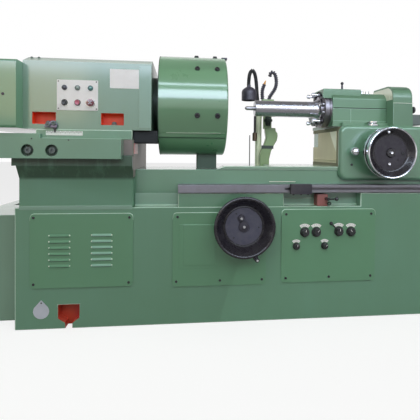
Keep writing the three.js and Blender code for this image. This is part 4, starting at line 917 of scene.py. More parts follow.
DRUM_PAINT = Finish("drum_paint", "green_paint", srgb(96, 142, 106), 0.30, "paint",
                    (("Drift", 0.04), ("Peel", 0.15), ("Dust", 0.0)), coat=1.0, coat_roughness=0.13,
                    coat_ior=1.8)
# Near-white paint: painted light on the belt cover's side and a painted highlight line on the table.
PALE_LIT_SHEET = Finish("pale_lit_sheet", "green_paint", srgb(222, 226, 208), 0.25, "paint", (("Drift", 0.04),),
                    coat=0.6)
CREAM = Finish("cream_post", "grey_paint", srgb(232, 240, 212), 0.40, "paint", (("Drift", 0.1),))
LAMP_BLACK = Finish("lamp_shade_paint", "black_enamel", srgb(56, 54, 66), 0.38, "moulded")
BRASS = Finish("brown_fitting", "worn_iron", srgb(98, 82, 66), 0.4, "metal",
               (("Grain", (90.0, 90.0, 90.0)),), metallic=0.7)
BLACK_GREEN = Finish("valve_paint", "dark_paint", srgb(30, 44, 36), 0.35, "moulded")
BEZELS = (Finish("dark_bezel", "black_plastic", srgb(60, 58, 70), 0.3, "moulded"),
          Finish("grey_bezel", "grey_paint", srgb(98, 110, 110), 0.3, "moulded"),
          Finish("teal_bezel", "grey_paint", srgb(62, 104, 106), 0.3, "moulded"))
LENSES = (Finish("dark_lens", "black_plastic", srgb(46, 44, 56), 0.12, "moulded", coat=1.0,
                 coat_roughness=0.03), Finish("grey_lens", "grey_paint", srgb(150, 166, 160), 0.12,
                                              "moulded", coat=1.0, coat_roughness=0.03),
          Finish("teal_lens", "grey_paint", srgb(104, 158, 158), 0.12, "moulded", coat=1.0,
                 coat_roughness=0.03))
ORANGE = Finish("orange_nozzle", "khaki_paint", srgb(222, 158, 62), 0.4, "moulded", (("Smear", 0.2),))


def place_piece(obj: Piece, finish: Finish, body: str, *nodes: str) -> Piece:
    """Give a finished piece its body, and its material where it hasn't one yet.

    Args:
        obj: The piece.
        finish: Its finish.
        body: The CAD body that it rides on.
        nodes: The CAD nodes that it stands for.

    Returns:
        The piece.
    """
    if not obj.data.materials:
        obj.data.materials.append(finish.material())
    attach(obj, body)
    if nodes:
        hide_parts(*nodes)
    LOG.info("%s rides on %s, %d faces", obj.name, body, len(obj.data.polygons))
    return obj


def fit(obj: Piece, place: Point, facing: Facing, finish: Finish, body: str, *nodes: str,
        smooth: float = 35) -> Piece:
    """Mount an upright piece, shade it smooth and place it.

    Args:
        obj: The piece, upright at the origin.
        place: Where it goes, in metres.
        facing: The way that its upright axis points.
        finish: Its finish.
        body: The CAD body that it rides on.
        nodes: The CAD nodes that it stands for.
        smooth: The angle, in degrees, below which it is shaded smooth.

    Returns:
        The piece.
    """
    Bench.mount(obj, place, facing)
    return place_piece(Bench.polished(obj, smooth), finish, body, *nodes)


def place_bar(name: str, low: Point, high: Point, ease: float, segments: int, finish: Finish,
              body: str) -> None:
    """Make a bar with eased edges and place it.

    Args:
        name: The bar's name.
        low: Its lowest corner.
        high: Its highest corner.
        ease: The width of its eased edges.
        segments: How many facets they have.
        finish: Its finish.
        body: The CAD body that it rides on.
    """
    bar = Bench.block(name, low, high)
    Bench.eased(bar, ease, segments)
    place_piece(Bench.polished(bar), finish, body)


@dataclass
class Studio:
    """The camera at the photograph's angle, the pale floor and the lamps."""

    image_size: float = 420.0
    focal_pixels: float = 396.65
    centre_pixel: Pair = (231.0, 160.0)
    sensor: float = 36.0
    place: Triple = (-0.643, -2.544, 0.927)
    yaw: float = 6.77
    pitch: float = -1.13
    roll: float = 0.57
    floor_size: float = 60.0
    floor_shade: float = 0.30
    floor_glow: float = 0.74
    room_low: float = 0.22
    room_high: float = 0.28
    lamp_x: float = -0.2
    lamp_reach: float = 3.5
    band_radiance: float = 7.0
    front_radiance: float = 7.2
    strip_radiance: float = 7.6
    key_radiance: float = 2.6
    roof_radiance: float = 0.8
    back_radiance: float = 3.2
    side_radiance: float = 2.0
    spot_radiance: float = 5.0

    def camera(self) -> None:
        """Set the camera up as the photograph was taken."""
        data = bpy.data.cameras.new("camera")
        data.sensor_width = self.sensor
        data.lens = self.sensor * self.focal_pixels / self.image_size
        data.shift_x = (self.image_size / 2 - self.centre_pixel[0]) / self.image_size
        data.shift_y = (self.centre_pixel[1] - self.image_size / 2) / self.image_size
        camera = bpy.data.objects.new("camera", data)
        bpy.context.scene.collection.objects.link(camera)
        turn = (Matrix.Rotation(-math.radians(self.yaw), 4, "Z")
                @ Matrix.Rotation(math.pi / 2 + math.radians(self.pitch), 4, "X")
                @ Matrix.Rotation(math.radians(self.roll), 4, "Z"))
        camera.matrix_world = Matrix.Translation(self.place) @ turn
        bpy.context.scene.camera = camera

    def floor(self) -> None:
        """Lay the pale floor, which keeps the machine's shadow."""
        Bench.clear()
        bpy.ops.mesh.primitive_plane_add(size=self.floor_size, location=(0, 0, -0.0005))
        floor = bpy.context.object
        floor.name = "floor"
        made = bpy.data.materials.new("pale_floor")
        made.use_nodes = True
        made.node_tree.nodes.clear()
        w = Wiring(made.node_tree)
        path = w.add("LightPath")
        depth = w.add("SeparateXYZ", {0: w.add("TexCoord").outputs["Object"]}).outputs[1]
        behind = w.spread(depth, 0.6, 1.6, 0.2, 0.9)
        before = w.spread(w.maths("MULTIPLY", depth, -1.0), 5.0, 10.0, 0.15, 1.1)
        mirrored = w.maths("MULTIPLY", path.outputs["Is Glossy Ray"], w.maths("MAXIMUM", behind, before))
        seen = w.maths("MAXIMUM", path.outputs["Is Camera Ray"], mirrored)
        seen = w.maths("MAXIMUM", seen, path.outputs["Is Transmission Ray"])
        plain = w.add("BsdfDiffuse", {"Color": (self.floor_shade, self.floor_shade, self.floor_shade, 1)})
        glow = w.add("Emission", {"Color": (1, 1, 1, 1), "Strength": w.maths("MULTIPLY", seen,
                                                                             self.floor_glow)})
        both = w.add("AddShader", {0: plain.outputs[0], 1: glow.outputs[0]})
        w.add("OutputMaterial", {"Surface": both.outputs[0]})
        floor.data.materials.append(made)

    def world(self) -> None:
        """Light the room dimly and evenly, with white where the eye and the metal see the backdrop."""
        world = bpy.data.worlds.new("room")
        bpy.context.scene.world = world
        world.use_nodes = True
        world.node_tree.nodes.clear()
        w = Wiring(world.node_tree)
        path = w.add("LightPath")
        seen = w.maths("MAXIMUM", path.outputs["Is Camera Ray"], path.outputs["Is Transmission Ray"])
        way = w.add("SeparateXYZ", {0: w.add("TexCoord").outputs["Generated"]})
        backdrop = w.spread(way.outputs[1], 0.55, 0.75, 0, 0.7)
        horizon = w.spread(w.maths("ABSOLUTE", way.outputs[2]), 0.12, 0.24, 1, 0)
        mirrored = w.maths("MULTIPLY", path.outputs["Is Glossy Ray"], w.maths("MAXIMUM", backdrop, horizon))
        seen = w.maths("MAXIMUM", seen, mirrored)
        room = w.spread(way.outputs[2], -0.1, 0.7, self.room_low, self.room_high)
        strength = w.add("Mix", {0: seen, 2: room, 3: 1.0}, data_type="FLOAT").outputs[0]
        back = w.add("Background", {"Color": (1, 1, 1, 1), "Strength": strength})
        w.add("OutputWorld", {"Surface": back.outputs[0]})

    def lamp(self, name: str, place: Point, aim: Point, size: Pair, radiance: float,
             colour: Point = (1, 1, 1)) -> Piece:
        """Hang a soft rectangular lamp.

        Args:
            name: The lamp's name.
            place: Where it hangs.
            aim: The point that it looks at.
            size: Its width and height.
            radiance: How bright its face is.
            colour: Its colour.

        Returns:
            The lamp.
        """
        data = bpy.data.lights.new(name, "AREA")
        data.shape = "RECTANGLE"
        data.size, data.size_y = size
        data.energy = radiance * math.pi * size[0] * size[1]
        data.color = colour
        lamp = bpy.data.objects.new(name, data)
        bpy.context.scene.collection.objects.link(lamp)
        lamp.visible_camera = False
        turn = (Vector(aim) - Vector(place)).to_track_quat("-Z", "Y")
        lamp.matrix_world = Matrix.Translation(place) @ turn.to_matrix().to_4x4()
        return lamp

    def overhead(self, name: str, rise: float, size: Pair, radiance: float,
                 colour: Point) -> Piece:
        """Hang a long lamp along the machine, at an angle of rise in front of the spindle axis, and give it.

        Args:
            name: The piece's name.
            rise: Its angle above the horizon, in degrees.
            size: Its width and height.
            radiance: How bright its face is.
            colour: Its colour.

        Returns:
            The lamp.
        """
        turn = math.radians(rise)
        place = (self.lamp_x, AXIS_Y - self.lamp_reach * math.cos(turn),
                 AXIS_Z + self.lamp_reach * math.sin(turn))
        return self.lamp(name, place, (self.lamp_x, AXIS_Y, AXIS_Z), size, radiance, colour)

    def build(self) -> None:
        """Set up the whole studio."""
        bpy.context.scene.view_settings.view_transform = "Standard"
        self.camera()
        self.floor()
        self.world()
        plain = (1.0, 1.0, 1.0)
        mirrored = (("window_band", 21.5, (6.0, 1.15), self.band_radiance, (0.72, 0.82, 1.0)),
                    ("ceiling_strip", 43.0, (6.0, 0.26), self.strip_radiance, (0.70, 0.84, 1.0)))
        for values in mirrored:
            self.overhead(*values).visible_diffuse = False
        soft = (("front_light", 21.5, (6.0, 1.15), self.front_radiance, (0.97, 1.0, 0.965)),
                ("key_light", 54.0, (4.5, 1.4), self.key_radiance, plain),
                ("roof_light", 88.0, (5.0, 1.8), self.roof_radiance, plain),
                ("back_light", 155.0, (6.0, 1.4), self.back_radiance, plain))
        for values in soft:
            self.overhead(*values).visible_glossy = False
        self.lamp("left_window", (-2.75, -4.0, 1.75), (-1.3, -0.4, 1.2), (1.5, 0.8), self.side_radiance,
                  (1.0, 0.66, 0.30))
        self.lamp("left_spot", (-4.6, -0.2, 3.3), (-0.3, -0.5, 0.53), (0.9, 1.3), self.spot_radiance)
        self.lamp("right_spot", (4.6, -0.2, 4.6), (-0.3, -0.5, 0.53), (0.5, 0.7), self.spot_radiance)


def spot(place: Point, facing: Facing = Facing.UP, roll: float = 0) -> Matrix:
    """Give the matrix of a copy at a place, turned to a direction and rolled about it by degrees."""
    turned = Matrix.Translation(place) @ facing.euler().to_matrix().to_4x4()
    return turned @ Matrix.Rotation(math.radians(roll), 4, "Z")


def leaning(place: Point, direction: Point) -> Matrix:
    """Give the matrix of a copy at a place, leaning along any direction."""
    return Matrix.Translation(place) @ Vector(direction).to_track_quat("Z", "Y").to_matrix().to_4x4()


def on_circle(centre: Pair, radius: float, turn: float) -> Pair:
    """Give the point of a circle at an angle in degrees."""
    angle = math.radians(turn)
    return centre[0] + radius * math.cos(angle), centre[1] + radius * math.sin(angle)


def polygon(radius: float, sides: int, turn: float = 0) -> Outline:
    """Give the outline of a regular polygon."""
    return arc(radius, turn, turn + 360 * (sides - 1) / sides, sides - 1)


@dataclass(frozen=True)
class Screw:
    """A cap screw with a hexagon socket, modelled once and set in many places."""

    radius: float
    height: float
    socket: float
    finish: Finish

    def set_in(self, name: str, body: str, places: Sequence[Matrix]) -> Piece:
        """Set copies of the screw.

        Args:
            name: The joined screws' name.
            body: The body that they ride on.
            places: Where each head's underside sits.

        Returns:
            The joined screws.
        """
        chamfer = self.radius * 0.14
        head = Bench.turned(name, [(0, -0.002), (self.radius, -0.002), (self.radius, self.height - chamfer),
                                   (self.radius - chamfer, self.height), (0, self.height)], 24)
        hexagon = Bench.cut_out("hexagon", polygon(self.socket, 6), self.height)
        hexagon.location.z = self.height * 0.45
        Bench.settle(hexagon)
        Bench.carved(head, hexagon)
        screws = Bench.copies(head, places)
        Bench.polished(screws)
        return place_piece(screws, self.finish, body)


COVER_SCREW = Screw(0.0065, 0.004, 0.0035, DARK_IRON)
SMALL_SCREW = Screw(0.0035, 0.002, 0.0018, DARK_IRON)
HOOD_SCREW = Screw(0.012, 0.011, 0.0062, DARK_IRON)
BRIGHT_SCREW = Screw(0.008, 0.010, 0.0042, CHROME)
BRIDGE_SCREW = Screw(0.0165, 0.016, 0.009, GREY)
FLANGE_SCREW = Screw(0.0085, 0.012, 0.0045, STEEL_TURNED)


@dataclass
class Castings:
    """The cast and welded housings, with rounded edges under their paint."""

    shortest_edge: float = 0.045
    small_round: float = 0.0025
    plain_round: float = 0.0045
    cover_right: float = 0.7158
    cover_round: float = 0.034
    cap_line: float = 1.255
    cap_round: float = 0.014

    def rounded(self, node: str, body: str, width: float, finish: Finish = GREEN,
                shortest: float | None = None, edge: Finish | None = None,
                smooth: float = 35) -> Piece:
        """Stand a round-edged copy in for a CAD node.

        Args:
            node: The CAD node.
            body: The body that it moves with.
            width: The edge's round.
            finish: The paint.
            shortest: The shortest edge that is rounded, where it isn't the plain one.
            edge: The pale finish of the rounds, a painted highlight along them, where it isn't the paint.
            smooth: The angle, in degrees, below which it is shaded smooth.

        Returns:
            The copy.
        """
        obj = Bench.cast_copy(f"{node}_cast", node)
        for round_paint in (finish, edge or finish):
            obj.data.materials.append(round_paint.material())
        Bench.eased_where(obj, width, 3, convex_long_edge(shortest or self.shortest_edge),
                          1 if edge else -1)
        Bench.polished(obj, smooth)
        return place_piece(obj, finish, body, node)

    def cap(self) -> None:
        """Round the wheel head's cap: widely along the top, narrowly elsewhere."""
        obj = Bench.cast_copy("wheelhead_cap_cast", "wheelhead_cap")

        def on_top(edge: bmesh.types.BMEdge) -> bool:
            """Say whether an edge runs along the top, in front or at the right."""
            high = all(v.co.z > self.cap_line for v in edge.verts)
            return high and edge.calc_length() > 0.1 and edge.calc_face_angle_signed(0) > math.radians(20)

        Bench.eased_where(obj, self.cap_round, 5, on_top)
        Bench.eased_where(obj, 0.004, 3, convex_long_edge(self.shortest_edge, 50))
        place_piece(Bench.polished(obj), GREEN_CAP_SHADED, "wheelhead", "wheelhead_cap")

    def belt_cover(self) -> None:
        """Take the belt cover without its small fittings and round its outer corner widely."""
        obj = Bench.cast_copy("right_belt_cover_cast", "right_belt_cover")
        Bench.sliced(obj, (self.cover_right, 0, 0), (1, 0, 0))
        outer = self.cover_right - 0.0003
        Bench.eased_where(obj, self.cover_round, 7,
                          lambda e: all(v.co.x > outer and v.co.z > AXIS_Z for v in e.verts))
        Bench.eased_where(obj, self.small_round, 3, convex_long_edge(self.shortest_edge, 40))
        place_piece(Bench.polished(obj), GREEN_CAP_SHADED, "wheelhead", "right_belt_cover")

    def build(self) -> None:
        """Round every housing."""
        self.rounded("bed_casting", "bed", self.plain_round, edge=GREEN_EDGE_HIGHLIGHT)
        self.rounded("coolant_tank", "bed", self.small_round, GREEN_HEAD_LIT)
        # The riser's top band is darkened under the bridge bar: grime and painted shade.
        self.rounded("bridge_riser", "bed", self.plain_round, GREEN_GRIMY_SHADED, smooth=30.6)
        self.rounded("bridge_plate", "bed", self.plain_round, edge=GREEN_EDGE_HIGHLIGHT)
        self.rounded("swivel_base", "bed", self.plain_round, edge=GREEN_EDGE_HIGHLIGHT)
        self.rounded("table_beam", "table", self.small_round)
        self.rounded("table_top_plate", "table", self.small_round, GREEN_HEAD_LIT, edge=GREEN_EDGE_HIGHLIGHT)
        self.rounded("dog_rail", "table", 0.0015, RAIL)
        self.rounded("left_dog", "left_dog", 0.0015, DARK_IRON, 0.02)
        self.rounded("right_dog", "right_dog", 0.0015, DARK_IRON, 0.02)
        self.rounded("wheelhead_casting", "wheelhead", self.plain_round, GREEN_CAP_SHADED, edge=GREEN_EDGE_HIGHLIGHT)
        self.cap()
        self.belt_cover()
        self.rounded("headstock_casting", "work_head", self.plain_round, GREEN_HEAD_LIT, edge=GREEN_EDGE_HIGHLIGHT)
        self.rounded("left_belt_cover", "work_head", self.plain_round, GREEN_SMOOTH)


@dataclass
class Apron:
    """The cross slide with its large rounded apron, and the small parts on it."""

    front: float = -0.354
    thick: float = 0.028
    left: float = 0.248
    right: float = 0.940
    low: float = 0.770
    high: float = 1.090
    corner: float = 0.044
    round_width: float = 0.020
    wheel_place: Pair = (0.498, 0.932)
    boss_reach: float = 0.014
    pull_place: Pair = (0.322, 0.938)
    pull_front: float = -0.392
    oil_place: Pair = (0.318, 0.862)
    lubricator_place: Triple = (0.472, -0.290, 1.0915)

    def casting(self) -> None:
        """Round the slide's edges and forge its apron anew, with wide round edges and two bores."""
        obj = Bench.cast_copy("cross_slide_cast", "cross_slide_base")
        saw = Bench.block("saw", (self.left - 0.01, self.front - 0.1, self.low - 0.01),
                          (self.right + 0.01, self.front + self.thick, self.high + 0.01))
        Bench.carved(obj, saw)
        Bench.eased_where(obj, 0.004, 3, convex_long_edge(0.06, 40))
        outline = rounded_box((self.left, self.right), (self.low, self.high), self.corner, 10)
        apron = Bench.cut_out("apron", outline, self.thick)
        Bench.mount(apron, (0, self.front + self.thick, 0), Facing.FRONT)
        Bench.eased_where(apron, self.round_width, 7, lambda e: all(abs(v.co.y - self.front) < NEAR
                                                                    for v in e.verts))
        x, z = self.wheel_place
        boss = Bench.rod("boss", 0.060, -0.01, self.boss_reach, 64)
        Bench.mount(boss, (x, self.front, z), Facing.FRONT)
        Bench.carved(apron, boss, "UNION")
        for radius, (x, z) in ((0.0123, self.wheel_place), (0.0093, self.pull_place)):
            Bench.drilled(apron, (x, self.front, z), radius, 0.08, 0.03)
        whole = Bench.joined("cross_slide_forged", [apron, obj])
        place_piece(Bench.polished(whole, 30), GREEN, "table", "cross_slide_base")

    def guard_plate(self) -> None:
        """Cut the khaki way guard with its step, its pale patch and rib, and the side plates round it."""
        outline = [(-0.204, 0.866), (0.230, 0.866), (0.230, 0.968), (0.128, 0.968), (0.128, 1.063),
                   (-0.204, 1.063)]
        plate = Bench.cut_out("way_guard_sheet", [(-y, z) for y, z in outline], 0.006)
        Bench.mount(plate, (0.289, 0, 0), Facing.LEFT)
        Bench.eased(plate, 0.0012, 2)
        place_piece(Bench.polished(plate), KHAKI, "table", "way_guard")
        patch = [(-0.203, 0.935), (-0.185, 0.955), (-0.150, 0.990), (-0.118, 1.030), (-0.095, 1.062),
                 (-0.203, 1.062)]
        pale = Bench.cut_out("way_guard_patch", [(-y, z) for y, z in patch], 0.0008)
        Bench.mount(pale, (0.2832, 0, 0), Facing.LEFT)
        place_piece(pale, PALE_PATCH, "table")
        for name, low, high in (("slide_side_front", (0.2848, -0.3255, 0.776), (0.2889, -0.2045, 1.0865)),
                                ("slide_side_top", (0.2848, -0.2045, 1.0635), (0.2889, 0.2400, 1.0865)),
                                ("slide_side_low", (0.2848, -0.2045, 0.776), (0.2889, 0.2400, 0.8655))):
            place_bar(name, low, high, 0.0008, 1, DULL_KHAKI, "table")
        place_bar("way_guard_rib", (0.279, -0.19, 0.882), (0.2835, 0.2, 0.886), 0.0012, 2, KHAKI, "table")

    def pull(self) -> None:
        """Turn the chrome pull knob with its collar."""
        profile = [(0, -0.082), (0.009, -0.082), (0.009, -0.032), (0.014, -0.032), (0.015, -0.029),
                   (0.015, -0.024), (0.011, -0.021), *arc(0.026, -62, 90, 16)[:-1], (0, 0.026)]
        knob = Bench.turned("pull_knob_turned", profile, 40)
        x, z = self.pull_place
        fit(knob, (x, self.pull_front, z), Facing.FRONT, CHROME, "pull_knob", "pull_knob")

    def fittings(self) -> None:
        """Set the oil plug, and the chrome lubricator on the wheel head's foot."""
        plug = Bench.turned("apron_plugs", [(0, -0.001), (0.007, -0.001), (0.007, 0.003), (0.0055, 0.0042),
                                            (0, 0.0042)], 20)
        x, z = self.oil_place
        fit(plug, (x, self.front, z), Facing.FRONT, DARK_IRON, "table")
        cup = Bench.turned("lubricator", [(0, 0), (0.030, 0), (0.034, 0.002), (0.034, 0.008),
                                          (0.026, 0.012), (0.024, 0.018), (0.030, 0.020), (0.030, 0.026),
                                          (0.020, 0.030), (0, 0.031)], 36)
        fit(cup, self.lubricator_place, Facing.UP, CHROME, "wheelhead")

    def build(self) -> None:
        """Build the whole apron."""
        self.casting()
        self.guard_plate()
        self.pull()
        self.fittings()


@dataclass
class BedFront:
    """The covers, tag and anchor pockets on the bed's front face."""

    plate_thick: float = 0.006
    corner: float = 0.022
    door: Sides = (-1.424, -0.906, 0.215, 0.602)
    centre: Sides = (-0.700, -0.192, 0.204, 0.602)
    panel: Sides = (-0.106, 0.437, 0.209, 0.616)
    door_screws: tuple[Pair, ...] = ((-1.406, 0.581), (-0.925, 0.579), (-1.406, 0.237),
                                                    (-0.928, 0.236))
    centre_screws: tuple[Pair, ...] = ((-0.674, 0.579), (-0.679, 0.232), (-0.444, 0.232),
                                                      (-0.214, 0.232))
    panel_screws: tuple[Pair, ...] = ((-0.080, 0.588), (0.411, 0.588), (-0.080, 0.234),
                                                     (0.167, 0.236), (0.411, 0.236))
    louvre_left: Pair = (-1.333, -1.121)
    louvre_width: float = 0.110
    louvre_bottom: float = 0.325
    louvre_pitch: float = 0.0316
    louvre_rows: int = 6
    louvre_half: float = 0.0115
    louvre_proud: float = 0.0046
    wheel_hole: Triple = (-0.325, 0.534, 0.0153)
    pocket_left: Pair = (-1.286, 1.179)

    def plate(self, name: str, sides: Sides, thick: float) -> Piece:
        """Cut a cover plate with round corners and an eased front edge, standing on the bed's face.

        Args:
            name: The piece's name.
            sides: Its left, right, low and high sides.
            thick: Its thickness.

        Returns:
            The plate.
        """
        left, right, low, high = sides
        plate = Bench.cut_out(name, rounded_box((left, right), (low, high), self.corner), thick)
        Bench.mount(plate, (0, FRONT_FACE, 0), Facing.FRONT)
        for finish in (GREEN_SMOOTH, GREEN_EDGE_HIGHLIGHT):
            plate.data.materials.append(finish.material())
        rim = FRONT_FACE - thick
        middle = (low + high) / 2

        def on_rim(upper: bool) -> EdgeTest:
            """Make a test for the upper or the lower half of the front outline.

            Args:
                upper: Whether the upper half is meant.

            Returns:
                The test.
            """
            def chosen(edge: bmesh.types.BMEdge) -> bool:
                """Say whether the edge is in that half, and no upright side.

                Args:
                    edge: The edge.

                Returns:
                    Whether it is chosen.
                """
                first, second = (vertex.co for vertex in edge.verts)
                in_front = abs(first.y - rim) < NEAR and abs(second.y - rim) < NEAR
                is_upper = (first.z + second.z) / 2 > middle
                return in_front and is_upper == upper and abs(first.z - second.z) < high - low - 0.05
            return chosen

        # The upper rim takes the pale edge paint as a painted highlight; the lower rim keeps the plate's
        # paint.
        Bench.eased_where(plate, 0.0026, 3, on_rim(True), 1)
        return Bench.eased_where(plate, 0.0022, 3, on_rim(False))

    def screws(self, name: str, places: Sequence[Pair]) -> None:
        """Set a cover's screws."""
        y = FRONT_FACE - self.plate_thick
        COVER_SCREW.set_in(name, "bed", [spot((x, y, z), Facing.FRONT, 17 * i) for i,
                                         (x, z) in enumerate(places)])

    def louvres(self) -> Piece:
        """Press one louvre as a quarter of a capsule and copy it to both columns, the right column in a
        paler paint as painted light.

        Returns:
            The joined louvres.
        """
        half = self.louvre_half
        length = self.louvre_width
        profile = [(half * math.sin(t), half - half * math.cos(t)) for t in
                   [math.pi / 2 * i / 7 for i in range(8)]]
        profile += [(r, length - h) for r, h in reversed(profile)]
        scoop = Bench.turned("louvres", profile, 24)
        Bench.mount(scoop, (0, 0, 0), Facing.RIGHT)
        scoop.scale.y = self.louvre_proud / half
        Bench.settle(scoop)
        Bench.sliced(scoop, (0, 0.002, 0), (0, 1, 0))
        Bench.sliced(scoop, (0, 0, -0.001), (0, 0, -1))
        scoop.data.materials.append(GREEN_MATT.material())
        right = bpy.data.objects.new("louvres_right_lit", scoop.data.copy())
        bpy.context.scene.collection.objects.link(right)
        right.data.materials.clear()
        right.data.materials.append(GREEN_LIT_MATT.material())
        columns = [Bench.copies(column, self.louvre_places(left))
                   for column, left in zip((scoop, right), self.louvre_left)]
        return Bench.joined("louvres", columns)

    def louvre_places(self, left: float, out: float = 0, rise: float = 0,
                      facing: Facing = Facing.UP) -> list[Matrix]:
        """Give the places of one part of every louvre of a column."""
        y = FRONT_FACE - self.plate_thick - out
        return [spot((left, y, self.louvre_bottom + row * self.louvre_pitch + rise), facing)
                for row in range(self.louvre_rows)]

    def louvre_mouths(self) -> None:
        """Lay a dark slit under each louvre as painted shade, and a painted highlight dot at each of its
        ends.
        """
        length = self.louvre_width
        slit = Bench.block("louvre_slit_shades", (0.006, -0.0030, -0.0035), (length - 0.006, 0.001, -0.0008))
        places = [place for left in self.louvre_left for place in self.louvre_places(left)]
        place_piece(Bench.copies(slit, places), GREEN_DARK, "bed")
        dot = Bench.turned("louvre_highlight_dots", [(0, -0.001), (0.0036, -0.001), (0.0036, 0.001), (0.002, 0.0028),
                                           (0, 0.0032)], 12)
        ends = [place for left in self.louvre_left for side in (0.004, length - 0.004)
                for place in self.louvre_places(left + side, 0.002, 0.005, Facing.FRONT)]
        place_piece(Bench.polished(Bench.copies(dot, ends)), GLINT, "bed")

    def covers(self) -> None:
        """Build the three covers."""
        sheet = self.plate("door", self.door, self.plate_thick)
        door = Bench.joined("louvred_door_sheet", [sheet, self.louvres()])
        place_piece(Bench.polished(door), GREEN_SMOOTH, "bed", "louvred_door")
        self.louvre_mouths()
        self.screws("door_screws", self.door_screws)

        centre = self.plate("centre_cover_sheet", self.centre, self.plate_thick)
        x, z, radius = self.wheel_hole
        Bench.drilled(centre, (x, FRONT_FACE, z), radius, 0.02, 0.03)
        place_piece(Bench.polished(centre), GREEN_SMOOTH, "bed", "centre_cover")
        y = FRONT_FACE - self.plate_thick
        for name, sides, proud in (("hatch_gasket", (-0.666, -0.451, 0.299, 0.5375), 0.0016),
                                   ("hatch_plate", (-0.643, -0.469, 0.317, 0.536), 0.0044)):
            left, right, low, high = sides
            place_bar(name, (left, y - proud, low), (right, y + 0.001, high), 0.0012, 2, GREEN_SMOOTH,
                      "bed")
        self.screws("centre_screws", self.centre_screws)

        panel = self.plate("hydraulic_panel_sheet", self.panel, self.plate_thick)
        place_piece(Bench.polished(panel), GREEN_SMOOTH, "bed", "hydraulic_panel")
        self.screws("panel_screws", self.panel_screws)

    def anchor_linings(self) -> None:
        """Line the anchor pockets with red primer: the outline is pushed back, opened and given a skin."""
        width, low, rise, top, throat, foot = 0.107, 0.054, 0.030, 0.125, 0.037, 0.001
        depth = 0.0595
        near, far = (width - throat) / 2, (width + throat) / 2
        outline = [(0, top), (0, low), (near, rise), (near, foot), (far, foot), (far, rise), (width, low),
                   (width, top)]

        def mouth(face: bmesh.types.BMFace) -> bool:
            """Say whether a face closes the pocket in front or at its foot."""
            at_foot = face.normal.z < -0.99 and face.calc_center_median().z < 2 * foot
            return face.normal.y < -0.9 or at_foot

        for index, left in enumerate(self.pocket_left, 1):
            lining = Bench.cut_out(f"anchor_lining_{index}", [(left + u, v) for u, v in outline], depth)
            Bench.mount(lining, (0, FRONT_FACE + depth + 0.0001, 0), Facing.FRONT)
            Bench.opened(lining, mouth)
            Bench.thickened(lining, -0.0006)
            place_piece(Bench.polished(lining), RED_PRIMER, "bed")

    def tag(self) -> None:
        """Cut the white drop-shaped tag with its hole, hung on a pin."""
        x, z, radius = -1.3695, 0.0945, 0.0395
        outline = [(x + 0.004, 0.149), (x + 0.0015, 0.1518), (x - 0.0015, 0.1518), (x - 0.004, 0.149)]
        outline += arc(radius, 145, 395, 40, (x, z))
        tag = Bench.cut_out("inspection_tag", outline, 0.0014)
        fit(tag, (0, FRONT_FACE - 0.0004, 0), Facing.FRONT, TAG, "bed")
        pin = Bench.turned("tag_pin", [(0, 0), (0.0038, 0), (0.0038, 0.0022), (0.002, 0.0034), (0, 0.0036)],
                           16)
        fit(pin, (x + 0.001, FRONT_FACE - 0.001, 0.138), Facing.FRONT, BLACK, "bed")

    def inserts(self) -> None:
        """Set the screens before the steel way in the lighter copy of the paint, as painted light, and
        strips and beads that are painted highlight lines along the bed's front edge and the screens.
        """
        for name, low, high, finish in (
                ("way_screen_1", (-0.188, -0.3478, 0.6302), (0.358, -0.3448, 0.704), GREEN_LIT),
                ("way_screen_2", (-0.905, -0.3478, 0.6302), (-0.675, -0.3448, 0.700), GREEN_LIT),
                ("edge_strip_1", (-1.478, -0.4112, 0.6205), (-0.912, -0.4080, 0.641), GREEN_LIT),
                ("screen_bead_1", (-0.188, -0.3560, 0.6302), (0.358, -0.3480, 0.637), GREEN_EDGE_HIGHLIGHT),
                ("screen_bead_2", (-0.905, -0.3560, 0.6302), (-0.675, -0.3480, 0.637), GREEN_EDGE_HIGHLIGHT),
                ("screen_ridge", (-0.188, -0.3510, 0.668), (0.090, -0.3480, 0.672), GREEN_EDGE_HIGHLIGHT)):
            place_bar(name, low, high, 0.0011, 2, finish, "bed")

    def build(self) -> None:
        """Build everything on the bed's front."""
        self.covers()
        self.inserts()
        self.anchor_linings()
        self.tag()


